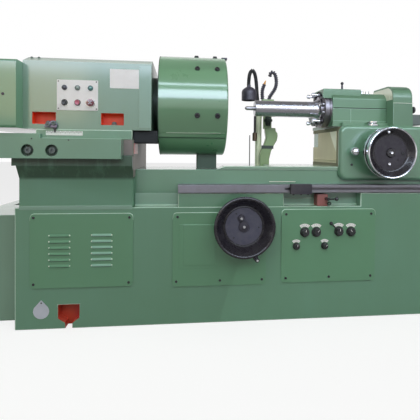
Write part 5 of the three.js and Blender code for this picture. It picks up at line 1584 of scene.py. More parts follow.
@dataclass
class ControlKnobs:
    """The six knobs of the hydraulic panel with their dial plates."""

    places: tuple[Pair, ...] = ((0.025, 0.488), (0.091, 0.488), (0.221, 0.490),
                                               (0.292, 0.488), (-0.022, 0.411), (0.140, 0.411))
    large: float = 0.025
    small: float = 0.018
    length: float = 0.026
    front: float = -0.4163
    flutes: int = 10
    pointer_turns: tuple[float, ...] = (5, 35, 0, -35, 8, 40)

    def knob(self, index: int) -> None:
        """Model one fluted knob with its skirt and pointer.

        Args:
            index: The knob's number, from 0.
        """
        x, z = self.places[index]
        radius = self.large if index < 4 else self.small
        skirt = Bench.turned(f"knob_{index + 1}_skirt", [(0.0055, -0.01), (radius * 0.5, 0),
                                                         (radius + 0.002, 0), (radius + 0.002, 0.005),
                                                         (radius, 0.0075), (0, 0.0085), (0, -0.01)], 40)
        steps = self.flutes * 8
        lobes = [(radius * (0.86 + 0.045 * math.cos(self.flutes * 2 * math.pi * i / steps)),
                  360 * i / steps) for i in range(steps)]
        outline = [(r * math.cos(math.radians(t)), r * math.sin(math.radians(t))) for r, t in lobes]
        grip = Bench.cut_out(f"knob_{index + 1}_grip", outline, self.length - 0.007)
        grip.location.z = 0.007
        Bench.settle(grip)
        Bench.tapered(grip, self.length, 0.86)
        Bench.eased_where(grip, 0.0016, 2, lambda e: all(v.co.z > self.length - 1e-4 for v in e.verts))
        knob = Bench.joined(f"hydraulic_knob_{index + 1}_moulded", [skirt, grip])
        if index == 2:
            knob = Bench.joined(knob.name, [knob, *self.lever()])
        fit(knob, (x, self.front, z), Facing.FRONT, BLACK, f"knob_{index + 1}",
            f"hydraulic_knob_{index + 1}")
        pointer = Bench.block(f"knob_{index + 1}_pointer", (-0.0011, radius * 0.16, 0),
                              (0.0011, radius * 0.68, 0.0006))
        pointer.rotation_euler.z = math.radians(-self.pointer_turns[index])
        pointer.location.z = self.length - 0.0001
        Bench.settle(pointer)
        Bench.mount(pointer, (x, self.front, z), Facing.FRONT)
        place_piece(pointer, WHITE, f"knob_{index + 1}")

    def lever(self) -> list[Piece]:
        """Model the long lever of the third knob: a tapered rod and a ball.

        Returns:
            The rod and the ball.
        """
        start, end = Vector((0, 0, 0.017)), Vector((-0.062, 0.053, 0.0473))
        along = end - start
        rod = Bench.turned("lever_rod", [(0, 0), (0.0052, 0), (0.0036, along.length), (0, along.length)],
                           20)
        Bench.aim(rod, start, along)
        ball = Bench.turned("lever_ball", [(0, -0.0105), *arc(0.0105, -80, 80, 14), (0, 0.0105)], 24)
        ball.location = end
        Bench.settle(ball)
        return [rod, ball]

    def dials(self) -> None:
        """Cut the white dial plates above the knobs."""
        cut = []
        marks = []
        for index, (x, z) in enumerate(self.places):
            inner, outer = (0.030, 0.0465) if index < 4 else (0.022, 0.0365)
            outline = arc(outer, 50, 130, 16, (x, z)) + arc(inner, 130, 50, 16, (x, z))
            cut.append(Bench.cut_out(f"dial_{index + 1}", outline, 0.0008))
            for turn in range(60, 121, 15):
                tick = Bench.block("tick", (inner + (outer - inner) * 0.35, -0.0006, 0),
                                   (outer - 0.004, 0.0006, 0.0004))
                tick.rotation_euler.z = math.radians(turn)
                tick.location = (x, z, 0.0007)
                marks.append(Bench.settle(tick))
        plates = Bench.joined("knob_dials", cut)
        Bench.mount(plates, (0, self.front + 0.0003, 0), Facing.FRONT)
        place_piece(plates, WHITE, "bed")
        ticks = Bench.joined("dial_marks", marks)
        Bench.mount(ticks, (0, self.front + 0.0003, 0), Facing.FRONT)
        place_piece(ticks, SATIN_BLACK, "bed")

    def build(self) -> None:
        """Build all knobs and dials."""
        for index in range(len(self.places)):
            self.knob(index)
        self.dials()


@dataclass
class TableWheel:
    """The large black handwheel with its dished disc, hub and crank grip."""

    place: Pair = (-0.325, 0.534)
    radius: float = 0.163
    rim: float = 0.009
    rim_depth: float = 0.106
    floor: float = 0.062
    floor_radius: float = 0.104
    grip_place: Pair = (-0.267655, 0.376444)
    holes: tuple[float, ...] = (121, -4, 228)
    hole_circle: float = 0.080

    def wheel(self) -> None:
        """Turn the dish, its rim, the grip's lug, the face disc, and pale metal rings as painted highlights:
        one inside the rim and an arc along the disc's lower edge.
        """
        middle = self.radius - self.rim
        rim = [(middle + self.rim * math.cos(math.radians(t)),
                self.rim_depth + self.rim * math.sin(math.radians(t))) for t in range(-140, 141, 20)]
        floor = self.floor
        profile = [(0, -0.040), (0.015, -0.040), (0.015, 0.016), (0.034, 0.016), (0.034, floor - 0.009),
                   (self.floor_radius, floor - 0.009), *rim, (self.floor_radius + 0.006, floor + 0.004),
                   *[(r, floor + h) for r, h in reversed(arc(0.0035, 20, 160, 7,
                                                             (self.floor_radius + 0.0005, 0.003)))],
                   (self.floor_radius - 0.004, floor), (0, floor)]
        dish = Bench.turned("table_handwheel_dish", profile, 128)
        x, z = self.place
        Bench.mount(dish, (x, FRONT_FACE, z), Facing.FRONT)
        u, v = self.grip_place
        lug = Bench.turned("lug", [(0, -0.009), (0.012, -0.009), (0.014, -0.007), (0.014, 0.007),
                                   (0.012, 0.009), (0, 0.009)], 36)
        Bench.mount(lug, (u, FRONT_FACE - self.rim_depth, v), Facing.FRONT)
        wheel = Bench.joined("table_handwheel_turned", [dish, lug])
        place_piece(Bench.polished(wheel, 30), ENAMEL, "table_wheel", "table_handwheel")
        disc = Bench.turned("table_handwheel_face", [(0, 0), (0.0985, 0), (0.0985, 0.0008),
                                                     (0.0975, 0.0016), (0, 0.0016)], 96)
        fit(disc, (x, FRONT_FACE - floor, z), Facing.FRONT, SATIN_BLACK, "table_wheel")
        for name, inner, depth in (("rim_highlight_ring", 0.1462, self.rim_depth + 0.0036),
                                   ("disc_highlight_arc", 0.1015, floor + 0.0026)):
            ring = Bench.ring(name, inner, inner + 0.0016, 0, 0.0012, 128)
            Bench.mount(ring, (x, FRONT_FACE - depth, z), Facing.FRONT)
            if name == "disc_highlight_arc":
                Bench.sliced(ring, (0, 0, z - 0.055), (0, 0, 1))
            place_piece(Bench.polished(ring), RIM_HIGHLIGHT, "table_wheel")

    def hub(self) -> None:
        """Set the hub, the clutch boss beside it, their bright screws and three black discs as painted shade
        for the tapped holes.
        """
        x, z = self.place
        y = FRONT_FACE - self.floor - 0.0016
        big = Bench.turned("hub", [(0, 0), (0.029, 0), (0.029, 0.004), (0.026, 0.009), (0.014, 0.010),
                                   (0, 0.010)], 48)
        Bench.mount(big, (x, y, z), Facing.FRONT)
        small = Bench.turned("clutch", [(0, 0), (0.019, 0), (0.019, 0.007), (0.016, 0.011), (0, 0.011)], 40)
        Bench.mount(small, (x - 0.015, y, z + 0.045), Facing.FRONT)
        link = Bench.cut_out("link", [(-0.02, 0), (0.02, 0), (0.013, 0.05), (-0.013, 0.05)], 0.006)
        Bench.eased(link, 0.0015, 2)
        link.rotation_euler.z = math.radians(18)
        Bench.settle(link)
        Bench.mount(link, (x, y, z), Facing.FRONT)
        hub = Bench.joined("table_handwheel_hub", [big, small, link])
        place_piece(Bench.polished(hub), HUB_GREY, "table_wheel")
        BRIGHT_SCREW.set_in("hub_screws", "table_wheel", [spot((x, y - 0.0095, z), Facing.FRONT),
                                                          spot((x - 0.015, y - 0.0105, z + 0.045),
                                                               Facing.FRONT, 20)])
        hole = Bench.rod("wheel_hole_shades", 0.0045, 0, 0.0003, 20)
        around = [on_circle(self.place, self.hole_circle, turn) for turn in self.holes]
        places = [spot((u, y, v), Facing.FRONT) for u, v in around]
        place_piece(Bench.copies(hole, places), BLACK, "table_wheel")

    def grip(self) -> None:
        """Turn the crank grip and its bright end screw."""
        u, v = self.grip_place
        face = FRONT_FACE - self.rim_depth - 0.0093
        profile = [(0.0053, 0), (0.0084, 0), (0.0108, 0.005), (0.0120, 0.014), (0.0124, 0.024),
                   (0.0124, 0.034), (0.0118, 0.040), (0.0102, 0.042), (0.0053, 0.042), (0.0053, 0)]
        grip = Bench.turned("table_grip_turned", profile, 48)
        fit(grip, (u, face, v), Facing.FRONT, ENAMEL, "table_wheel_grip", "table_handwheel_grip", smooth=40)
        pin = Bench.turned("grip_pin", [(0, -0.008), (0.005, -0.008), (0.005, 0.0425), (0.0066, 0.0425),
                                        (0.0070, 0.0445), (0.0056, 0.0472), (0, 0.0482)], 32)
        fit(pin, (u, face, v), Facing.FRONT, CHROME, "table_wheel")

    def build(self) -> None:
        """Build the wheel with all on it."""
        self.wheel()
        self.hub()
        self.grip()


@dataclass
class CrossWheel:
    """The cross-feed handwheel: a black dish with chrome rim and a chrome dial ring."""

    place: Pair = (0.498, 0.932)
    radius: float = 0.143
    zero: float = FRONT_FACE
    screw_circle: float = 0.062
    screw_turns: tuple[float, ...] = (20, 140, 200, 320)

    def ring(self, name: str, profile: Outline, finish: Finish, *nodes: str) -> Piece:
        """Turn one ring of the wheel; heights are forward of the bed's front.

        Args:
            name: The piece's name.
            profile: Points of radius and height.
            finish: Its finish.
            nodes: The CAD nodes that it stands for.

        Returns:
            The ring.
        """
        x, z = self.place
        obj = Bench.turned(name, profile, 128)
        return fit(obj, (x, self.zero, z), Facing.FRONT, finish, "cross_wheel", *nodes, smooth=30)

    def build(self) -> None:
        """Build the dish, its rings, the screws and the dial's marks."""
        r = self.radius
        dish = [(0, -0.40), (0.012, -0.40), (0.012, -0.0417), (0.060, -0.0417), (0.060, 0.008),
                (0.120, 0.008), (0.129, 0.030), (0.129, 0.044), (0.140, 0.048), (0.1405, 0.068),
                (0.132, 0.074), (0.129, 0.072), (0.120, 0.062), (0.108, 0.050), (0.104, 0.047),
                (0.101, 0.0465), (0.100, 0.0475), (0.097, 0.0475), (0.096, 0.046), (0.040, 0.044),
                (0, 0.044)]
        self.ring("cross_handwheel_dish", dish, ENAMEL, "cross_handwheel")
        rim = [(0.1395, 0.046), (r - 0.001, 0.047), (r, 0.049), (r, 0.071), (r - 0.002, 0.0748),
               (r - 0.005, 0.076), (r - 0.008, 0.0752), (r - 0.0105, 0.0722), (0.1395, 0.068),
               (0.1395, 0.046)]
        self.ring("cross_handwheel_rim", rim, CHROME)
        dial = [(0.112, 0.009), (r - 0.0015, 0.009), (r, 0.0105), (r, 0.0285), (r - 0.0015, 0.030),
                (0.112, 0.030), (0.112, 0.009)]
        self.ring("cross_dial", dial, CHROME)
        face = [(0, 0.0438), (0.094, 0.0462), (0.094, 0.0472), (0.0925, 0.0478), (0.030, 0.0468),
                (0, 0.0466)]
        self.ring("cross_handwheel_face", face, WHEEL_DARK)
        hub = [(0, 0.045), (0.026, 0.045), (0.026, 0.051), (0.022, 0.056), (0.010, 0.056), (0, 0.0555)]
        self.ring("cross_handwheel_hub", hub, ENAMEL)
        x, z = self.place
        y = self.zero - 0.0472
        ball = Bench.turned("cross_crank_ball", [(0, -0.008), *arc(0.010, -55, 80, 12), (0, 0.010)], 28)
        fit(ball, (x - 0.020, self.zero - 0.062, z + 0.114), Facing.FRONT, CHROME, "cross_wheel", smooth=60)
        stud = Bench.turned("cross_face_stud", [(0, -0.002), (0.009, -0.002), (0.009, 0.004),
                                                (0.007, 0.006), (0, 0.006)], 24)
        fit(stud, (x + 0.073, y, z - 0.003), Facing.FRONT, BLACK, "cross_wheel")
        BRIGHT_SCREW.set_in("cross_hub_screws", "cross_wheel", [spot((x, y - 0.0085, z), Facing.FRONT),
                                                                spot((x - 0.009, y, z - 0.062),
                                                                     Facing.FRONT, 12)])
        around = [on_circle(self.place, self.screw_circle, turn) for turn in self.screw_turns]
        SMALL_SCREW.set_in("cross_face_screws", "cross_wheel", [spot((u, y, v), Facing.FRONT) for u,
                                                                v in around])
        tick = Bench.block("cross_dial_marks", (r - 0.0004, -0.0006, 0.013), (r + 0.0002, 0.0006, 0.022))
        matrices = [spot((x, self.zero, z), Facing.FRONT, 5 * i) for i in range(72)]
        place_piece(Bench.copies(tick, matrices), BLACK, "cross_wheel")


@dataclass
class DrumGuard:
    """The drum guard round the chuck: a fixed trough and a hood that swings on its hinge."""

    left: float = -0.785
    right: float = -0.405
    radius: float = 0.292
    sheet: float = 0.004
    mouth: float = 0.225
    split: float = 1.032
    bolt_x: Pair = (-0.573, -0.463)
    bolt_turns: tuple[float, ...] = (39.3, -15.2, 80.5)
    hinge_y: float = 0.1398
    hinge_radius: float = 0.010
    knuckle: float = 0.090

    def shell(self, name: str, left: float) -> Piece:
        """Turn the drum's sheet with its pressed outer corner and the ring round its mouth.

        Args:
            name: The piece's name.
            left: The X of its left end.

        Returns:
            The drum's sheet.
        """
        r, s = self.radius, self.sheet
        length = self.right - left
        corner = [(r - 0.010 + 0.010 * math.cos(t), length - 0.010 + 0.010 * math.sin(t))
                  for t in [math.pi / 2 * i / 6 for i in range(7)]]
        profile = [(r - s, 0), (r, 0), *corner, (self.mouth + 0.002, length), (self.mouth, length - 0.002),
                   (self.mouth, length - s), (r - 0.010, length - s), (r - s, length - 0.010), (r - s, 0)]
        shell = Bench.turned(name, profile, 144)
        return Bench.mount(shell, (left, AXIS_Y, AXIS_Z), Facing.RIGHT)

    def hood(self) -> None:
        """Build the swinging hood with its hem, hinge barrel, screws and latch."""
        shell = Bench.sliced(self.shell("hood_shell", self.left + self.sheet + 0.0003),
                             (0, 0, self.split + 0.0002), (0, 0, -1))
        length = self.right - self.left - 2 * self.knuckle - 0.0006
        barrel = Bench.ring("barrel", 0.0055, self.hinge_radius, 0, length, 28)
        Bench.mount(barrel, (self.left + self.knuckle + 0.0003, self.hinge_y, self.split), Facing.RIGHT)
        low = (self.left + self.knuckle + 0.0003, self.hinge_y - 0.0114, self.split + 0.004)
        leaf = Bench.block("leaf", low, (low[0] + length, self.hinge_y, self.split + 0.0095))
        hood = Bench.joined("guard_hood_sheet", [shell, barrel, leaf])
        place_piece(Bench.polished(hood, 28), DRUM_PAINT, "hood", "guard_hood")
        places = []
        for turn in self.bolt_turns:
            out = Vector((0, -math.cos(math.radians(turn)), math.sin(math.radians(turn))))
            places += [leaning(Vector((x, AXIS_Y, AXIS_Z)) + out * self.radius, out) for x in self.bolt_x]
        HOOD_SCREW.set_in("hood_screws", "hood", places)
        washer = Bench.turned("hood_washers", [(0.007, -0.001), (0.0155, -0.001), (0.0155, 0.0012),
                                               (0.014, 0.002), (0.007, 0.002), (0.007, -0.001)], 28)
        place_piece(Bench.polished(Bench.copies(washer, places)), GREEN_DARK, "hood")
        place_bar("hood_latch", (self.right - 0.022, AXIS_Y - 0.085, 1.474),
                  (self.right + 0.012, AXIS_Y - 0.035, 1.486), 0.0022, 3, DARK_IRON, "hood")

    def trough(self) -> None:
        """Build the fixed trough with back plate, spout, bracket, hinge knuckles and its cover strip."""
        lower = Bench.sliced(self.shell("trough_shell", self.left), (0, 0, self.split - 0.0002), (0, 0, 1))
        s, r = self.sheet, self.radius
        back = Bench.ring("back", 0.125, r, 0, s, 144)
        Bench.mount(back, (self.left, AXIS_Y, AXIS_Z), Facing.RIGHT)
        hub = Bench.ring("hub", 0.125, 0.165, 0, 0.0347, 96)
        Bench.mount(hub, (-0.8157, AXIS_Y, AXIS_Z), Facing.RIGHT)
        parts = [lower, back, hub]
        for start in (self.left, self.right - self.knuckle):
            knuckle = Bench.rod("knuckle", self.hinge_radius, 0, self.knuckle, 28)
            parts.append(Bench.mount(knuckle, (start, self.hinge_y, self.split), Facing.RIGHT))
            parts.append(Bench.block("leaf", (start, self.hinge_y - 0.024, self.split - 0.0095),
                                     (start + self.knuckle, self.hinge_y, self.split - 0.004)))
        pin = Bench.rod("pin", 0.005, 0, 0.38, 20)
        parts.append(Bench.mount(pin, (self.left, self.hinge_y, self.split), Facing.RIGHT))
        for part in parts:
            # The back plate and hub ring take the dark green as painted shade in the gap between the work
            # head and the drum.
            inner = part in (back, hub)
            part.data.materials.append((GREEN_DARK if inner else DRUM_PAINT).material())
        trough = Bench.joined("guard_trough_sheet", parts)
        place_piece(Bench.polished(trough, 28), DRUM_PAINT, "work_head", "guard_trough")
        self.strip()
        self.spout()
        # The bracket is painted near black: painted shade under the work head's overhang.
        place_bar("guard_bracket", (-0.912, -0.392, 0.972), (-0.7852, -0.130, 1.0367), 0.003, 3, SHADOW,
                  "work_head")

    def strip(self) -> None:
        """Bend the strip that covers the joint in front: part of a slightly larger ring, with a painted
        highlight line along its top and a painted shadow line under it.
        """
        r = self.radius + 0.0002
        length = 0.366
        ring = Bench.ring("joint_strip", r, r + 0.002, 0, length, 288)
        Bench.mount(ring, (self.left + 0.007, AXIS_Y, AXIS_Z), Facing.RIGHT)
        Bench.sliced(ring, (0, AXIS_Y, 0), (0, 1, 0))
        Bench.sliced(ring, (0, 0, 1.0300), (0, 0, 1))
        Bench.sliced(ring, (0, 0, 1.0070), (0, 0, -1))
        place_piece(Bench.polished(ring, 28), DRUM_PAINT, "work_head")
        for name, start, end, low, high, finish in (("joint_glint", 0.045, 0.345, 1.0292, 1.0316, GLINT),
                                                    ("joint_shadow", 0.004, 0.372, 1.0040, 1.0062,
                                                     GREEN_DARK)):
            line = Bench.ring(name, r, r + 0.0028, 0, end - start, 288)
            Bench.mount(line, (self.left + start, AXIS_Y, AXIS_Z), Facing.RIGHT)
            Bench.sliced(line, (0, AXIS_Y, 0), (0, 1, 0))
            Bench.sliced(line, (0, 0, high), (0, 0, 1))
            Bench.sliced(line, (0, 0, low), (0, 0, -1))
            place_piece(Bench.polished(line, 28), finish, "work_head")

    def spout(self) -> None:
        """Weld the drain spout under the trough, open below, in the dark green as painted shade under the
        drum.
        """
        low, high = Vector((-0.567, -0.165, 0.830)), Vector((-0.449, -0.057, 0.918))
        outer = Bench.block("drain_spout", low, high)
        Bench.eased_where(outer, 0.006, 3, lambda e: abs(e.verts[0].co.z - e.verts[1].co.z) > 0.05)
        inner = Bench.block("inner", low + Vector((0.004, 0.004, -0.02)),
                            high + Vector((-0.004, -0.004, 0.02)))
        Bench.carved(outer, inner)
        place_piece(Bench.polished(outer), GREEN_DARK, "work_head")

    def build(self) -> None:
        """Build the whole guard."""
        self.hood()
        self.trough()


@dataclass
class GrindingHead:
    """Everything turned on the wheel head's axis, its screws and what sits on the housing."""

    flange_left: float = 0.202
    flange: float = 0.112
    oil_cup_place: Triple = (0.337, -0.150, 1.3200)
    cap_bolt_places: tuple[Pair, ...] = ((0.452, -0.178), (0.490, -0.176), (0.470, -0.03))
    cap_top: float = 1.296
    knob_place: Triple = (0.7155, -0.288, 1.192)

    def turned_on_axis(self, name: str, profile: Outline, finish: Finish, body: str, *nodes: str) -> None:
        """Turn a piece about the spindle axis; heights are places along X.

        Args:
            name: The piece's name.
            profile: Points of radius and height.
            finish: Its finish.
            body: The body that it rides on.
            nodes: The CAD nodes that it stands for.
        """
        obj = Bench.turned(name, profile, 96)
        fit(obj, (0, AXIS_Y, AXIS_Z), Facing.RIGHT, finish, body, *nodes, smooth=30)

    def axis_parts(self) -> None:
        """Turn the quill, the cartridge and the spindle."""
        a, f = self.flange_left, self.flange
        quill = [(0.0145, -0.211), (0.0465, -0.211), (0.0490, -0.2085), (0.0495, 0.0), (0.0500, 0.160),
                 (0.060, 0.181), (0.072, 0.190), (0.078, 0.192), (0.078, a), (0.0145, a), (0.0145, -0.211)]
        self.turned_on_axis("quill_turned", quill, QUILL_STEEL, "wheelhead", "quill")
        cartridge = [(0.030, a), (f - 0.012, a), (f - 0.003, a + 0.003), (f, a + 0.006), (f, a + 0.030),
                     (f - 0.002, a + 0.032), (f - 0.006, a + 0.033), (f - 0.006, a + 0.038),
                     (f - 0.001, a + 0.039), (f, a + 0.041), (f, a + 0.072), (f - 0.003, a + 0.075),
                     (0.088, a + 0.075), (0.088, 0.560), (0.030, 0.560), (0.030, a)]
        self.turned_on_axis("spindle_cartridge_turned", cartridge, FLANGE_STEEL, "wheelhead",
                            "spindle_cartridge")
        spindle = [(0, -0.270), (0.0045, -0.270), (0.0105, -0.264), (0.012, -0.258), (0.012, -0.232),
                   (0.0125, -0.230), (0.0125, -0.2165), (0.0139, -0.216), (0.0139, 0.622), (0.043, 0.622),
                   (0.045, 0.624), (0.045, 0.676), (0.043, 0.678), (0.0139, 0.678), (0.0139, 0.690),
                   (0, 0.690)]
        self.turned_on_axis("grinding_spindle_turned", spindle, STEEL_TURNED, "grinding_spindle",
                            "grinding_spindle")

    def ring_of(self, radius: float, x: float, turns: Sequence[float]) -> list[Matrix]:
        """Give places on a bolt circle that faces left."""
        return [spot((x, AXIS_Y - radius * math.cos(math.radians(t)),
                      AXIS_Z + radius * math.sin(math.radians(t))), Facing.LEFT, t) for t in turns]

    def screws(self) -> None:
        """Set the flange's socket screws, the quill's clamp screws and the long chrome bolts."""
        FLANGE_SCREW.set_in("flange_screws", "wheelhead", self.ring_of(0.096, self.flange_left,
                                                                       range(15, 360, 30)))
        Screw(0.006, 0.008, 0.003, DARK_IRON).set_in("quill_screws", "wheelhead",
                                                     self.ring_of(0.066, 0.1915, range(0, 360, 45)))
        stud = Bench.turned("clamp_bolts", [(0, -0.002), (0.0075, -0.002), (0.0075, 0.045), (0.013, 0.045),
                                            (0.013, 0.060), (0.0115, 0.0625), (0.006, 0.0625),
                                            (0.006, 0.056), (0, 0.056)], 24)
        places = self.ring_of(0.098, self.flange_left, (62, -50, 118, 238))
        place_piece(Bench.polished(Bench.copies(stud, places)), CHROME, "wheelhead")
        shoe = Bench.turned("clamp_collars", [(0.0076, 0), (0.017, 0), (0.017, 0.011), (0.015, 0.013),
                                              (0.0076, 0.013), (0.0076, 0)], 24)
        place_piece(Bench.polished(Bench.copies(shoe, places)), DARK_IRON, "wheelhead")

    def on_top(self) -> None:
        """Set the oil cup, the cap's bright bolts and a pale panel on the belt cover's left side, painted
        light for the brightly lit side face.
        """
        ball = Bench.turned("oil_cup", [(0, -0.004), (0.009, -0.004), (0.009, 0.004), (0.0060, 0.006),
                                        (0.0060, 0.024), (0.0050, 0.036),
                                        *arc(0.0095, -50, 85, 10, (0, 0.0435)), (0, 0.053)], 28)
        fit(ball, self.oil_cup_place, Facing.UP, DARK_IRON, "wheelhead", smooth=50)
        post = Bench.turned("cap_bolts", [(0, -0.03), (0.0150, -0.03), (0.0150, 0.002), (0.0110, 0.003),
                                          (0.0110, 0.016), (0.0095, 0.0178), (0.0045, 0.0178),
                                          (0.0045, 0.010), (0, 0.010)], 24)
        places = [spot((x, y, self.cap_top)) for x, y in self.cap_bolt_places]
        place_piece(Bench.polished(Bench.copies(post, places)), CHROME, "wheelhead")
        outline = [(-0.300, 1.250), (-0.300, 1.262), *reversed(arc(0.065, 90, 172, 10, (-0.235, 1.262))),
                   (-0.060, 1.327), (-0.055, 1.250)]
        panel = Bench.cut_out("cover_lit_side_panel", [(-y, z) for y, z in reversed(outline)], 0.0012)
        Bench.mount(panel, (0.5902, 0, 0), Facing.LEFT)
        place_piece(panel, PALE_LIT_SHEET, "wheelhead")

    def belt_cover(self) -> None:
        """Add a painted highlight line along the cover's seam, the cover's black knob and the grey junction
        box.
        """
        place_bar("cover_seam_highlight", (0.5895, -0.3125, 1.2275), (0.7178, -0.3085, 1.2305), 0.001, 2, GLINT,
                  "wheelhead")
        knob = Bench.turned("cover_knob", [(0, -0.002), (0.0085, -0.002), (0.0085, 0.008), (0.018, 0.010),
                                           (0.0205, 0.014), (0.0205, 0.0165), (0.017, 0.0205), (0, 0.0215)],
                            36)
        fit(knob, self.knob_place, Facing.RIGHT, BLACK, "wheelhead")
        place_bar("junction_box", (0.7150, -0.300, 1.1000), (0.779, -0.039, 1.1640), 0.004, 3, GREY,
                  "wheelhead")

    def joint_lines(self) -> None:
        """Lay the dark joint between housing and cap, and painted highlight lines in the lighter paint: its
        lower lip and the housing's strips.
        """
        for name, low, high, finish in (
                ("head_joint", (0.2505, -0.2309, 1.2000), (0.5885, -0.2290, 1.2042), SHADOW),
                ("head_joint_lip", (0.2505, -0.2307, 1.1960), (0.5885, -0.2290, 1.1998), GREEN_LIT),
                ("head_low_lip", (0.2505, -0.2307, 1.1230), (0.5885, -0.2290, 1.1262), GREEN_LIT),
                ("head_strip_left", (0.3600, -0.2306, 1.1000), (0.3640, -0.2290, 1.1960), GREEN_LIT),
                ("cover_edge_strip", (0.5905, -0.3106, 1.1050), (0.5945, -0.3090, 1.2260), GREEN_LIT)):
            place_bar(name, low, high, 0.0003, 1, finish, "wheelhead")

    def build(self) -> None:
        """Build the whole wheel head's detail."""
        self.joint_lines()
        self.axis_parts()
        self.screws()
        self.on_top()
        self.belt_cover()


@dataclass
class WorkHead:
    """The work head's plates, lamps, buttons, pointer, clamp pockets and other small parts."""

    face: float = FRONT_FACE
    plate: Sides = (-1.293, -1.088, 1.135, 1.291)
    lamps: tuple[Pair, ...] = ((-1.255, 1.251), (-1.1905, 1.251), (-1.126, 1.251))
    buttons: tuple[Pair, ...] = ((-1.255, 1.175), (-1.1905, 1.175), (-1.126, 1.175))
    pocket_left: Pair = (-1.414, -1.073)
    pocket_heights: Pair = (1.0625, 1.1235)
    pocket_width: float = 0.1155
    clamp_bolt_x: Pair = (-1.341, -1.009)
    plug_x: Pair = (-1.446, -1.410)

    def front_turned(self, name: str, profile: Outline, place: Point, finish: Finish,
                     body: str = "work_head", *nodes: str) -> None:
        """Turn a piece that faces the front.

        Args:
            name: The piece's name.
            profile: Points of radius and height.
            place: Where it goes, in metres.
            finish: Its finish.
            body: The body that it rides on.
            nodes: The CAD nodes that it stands for.
        """
        obj = Bench.turned(name, profile, 40)
        fit(obj, place, Facing.FRONT, finish, body, *nodes, smooth=35)

    def control_plate(self) -> None:
        """Build the white control plate with its three lamps and three buttons."""
        left, right, low, high = self.plate
        plate = Bench.cut_out("control_plate_sheet", rounded_box((left, right), (low, high), 0.003, 3),
                              0.003)
        Bench.mount(plate, (0, self.face, 0), Facing.FRONT)
        Bench.eased(plate, 0.0005, 2)
        y = self.face - 0.003
        place_piece(Bench.polished(plate), WHITE, "work_head", "control_plate")
        for index, (x, z) in enumerate(self.lamps):
            self.front_turned(f"lamp_bezel_{index + 1}", [(0.0085, 0), (0.0135, 0), (0.0135, 0.003),
                                                          (0.0122, 0.0045), (0.0095, 0.0048),
                                                          (0.0085, 0.003), (0.0085, 0)], (x, y, z),
                              BEZELS[index])
            lens = [(0, 0.001), (0.0088, 0.001), (0.0088, 0.004), (0.0072, 0.0065), (0.0042, 0.008),
                    (0, 0.0086)]
            self.front_turned(f"lamp_lens_{index + 1}", lens, (x, y, z), LENSES[index])
        names = ("black_button", "red_button", "mushroom_button")
        finishes = (BLACK, RED, DARK_RED)
        for name, finish, (x, z) in zip(names, finishes, self.buttons):
            large = name == "mushroom_button"
            radius = 0.020 if large else 0.012
            cap = [(0, -0.006), (0.006, -0.006), (0.006, 0.0065), (radius, 0.0065), (radius, 0.0105),
                   (radius - 0.0018, 0.0133), (radius * 0.6, 0.0142 if large else 0.0128),
                   (0, 0.0148 if large else 0.0122)]
            self.front_turned(f"{name}_cap", cap, (x, y, z), finish, name, name)
            inner = radius + 0.0005
            ring = [(inner, 0), (inner + 0.0034, 0), (inner + 0.0034, 0.0022), (inner + 0.0020, 0.004),
                    (inner, 0.004), (inner, 0)]
            self.front_turned(f"{name}_ring", ring, (x, y, z), CHROME if large else BLACK)
            if large:
                # A pale cross on the mushroom cap: a painted highlight.
                bars = Bench.block("cross_highlight_bars", (-0.0110, -0.0014, 0.0130), (0.0110, 0.0014, 0.0152))
                bars = Bench.copies(bars, [spot((x, y, z), Facing.FRONT, turn) for turn in (45, 135)])
                place_piece(Bench.polished(bars), TAG, name)
        inset = 0.008
        corners = [(left + inset, low + inset), (right - inset, low + inset), (left + inset, high - inset),
                   (right - inset, high - inset)]
        SMALL_SCREW.set_in("control_plate_screws", "work_head", [spot((x, y, z), Facing.FRONT, 20) for x,
                                                                 z in corners])

    def name_plate(self) -> None:
        """Cut the bare white plate."""
        plate = Bench.cut_out("bare_plate", rounded_box((-1.029, -0.880), (1.254, 1.354), 0.003, 3), 0.0016)
        Bench.mount(plate, (0, self.face - 0.0001, 0), Facing.FRONT)
        Bench.eased(plate, 0.0004, 2)
        place_piece(plate, WHITE, "work_head")

    def pocket_linings(self) -> None:
        """Line the clamp pockets in red primer and set a clamp bolt in each."""
        for index, left in enumerate(self.pocket_left, 1):
            across = (left + 0.0005, left + self.pocket_width)
            outline = rounded_box(across, self.pocket_heights, 0.003, 2)
            lining = Bench.cut_out(f"pocket_lining_{index}", outline, 0.0455)
            Bench.mount(lining, (0, self.face + 0.0457, 0), Facing.FRONT)
            Bench.opened(lining, lambda face: face.normal.y < -0.9)
            Bench.thickened(lining, -0.0006)
            place_piece(Bench.polished(lining), POCKET_RED, "work_head")
        bolt = Bench.turned("clamp_bolts_swivel", [(0, 0), (0.016, 0), (0.016, 0.004), (0.0075, 0.004),
                                                   (0.0075, 0.016), (0.0065, 0.0175), (0, 0.0175)], 24)
        nut = Bench.cut_out("nut", polygon(0.0125, 6), 0.010)
        nut.location.z = 0.004
        Bench.settle(nut)
        bolt = Bench.joined("swivel_clamp_bolts", [bolt, nut])
        places = [spot((x, self.face + 0.018, 1.0630)) for x in self.clamp_bolt_x]
        place_piece(Bench.polished(Bench.copies(bolt, places)), GREY, "work_head")

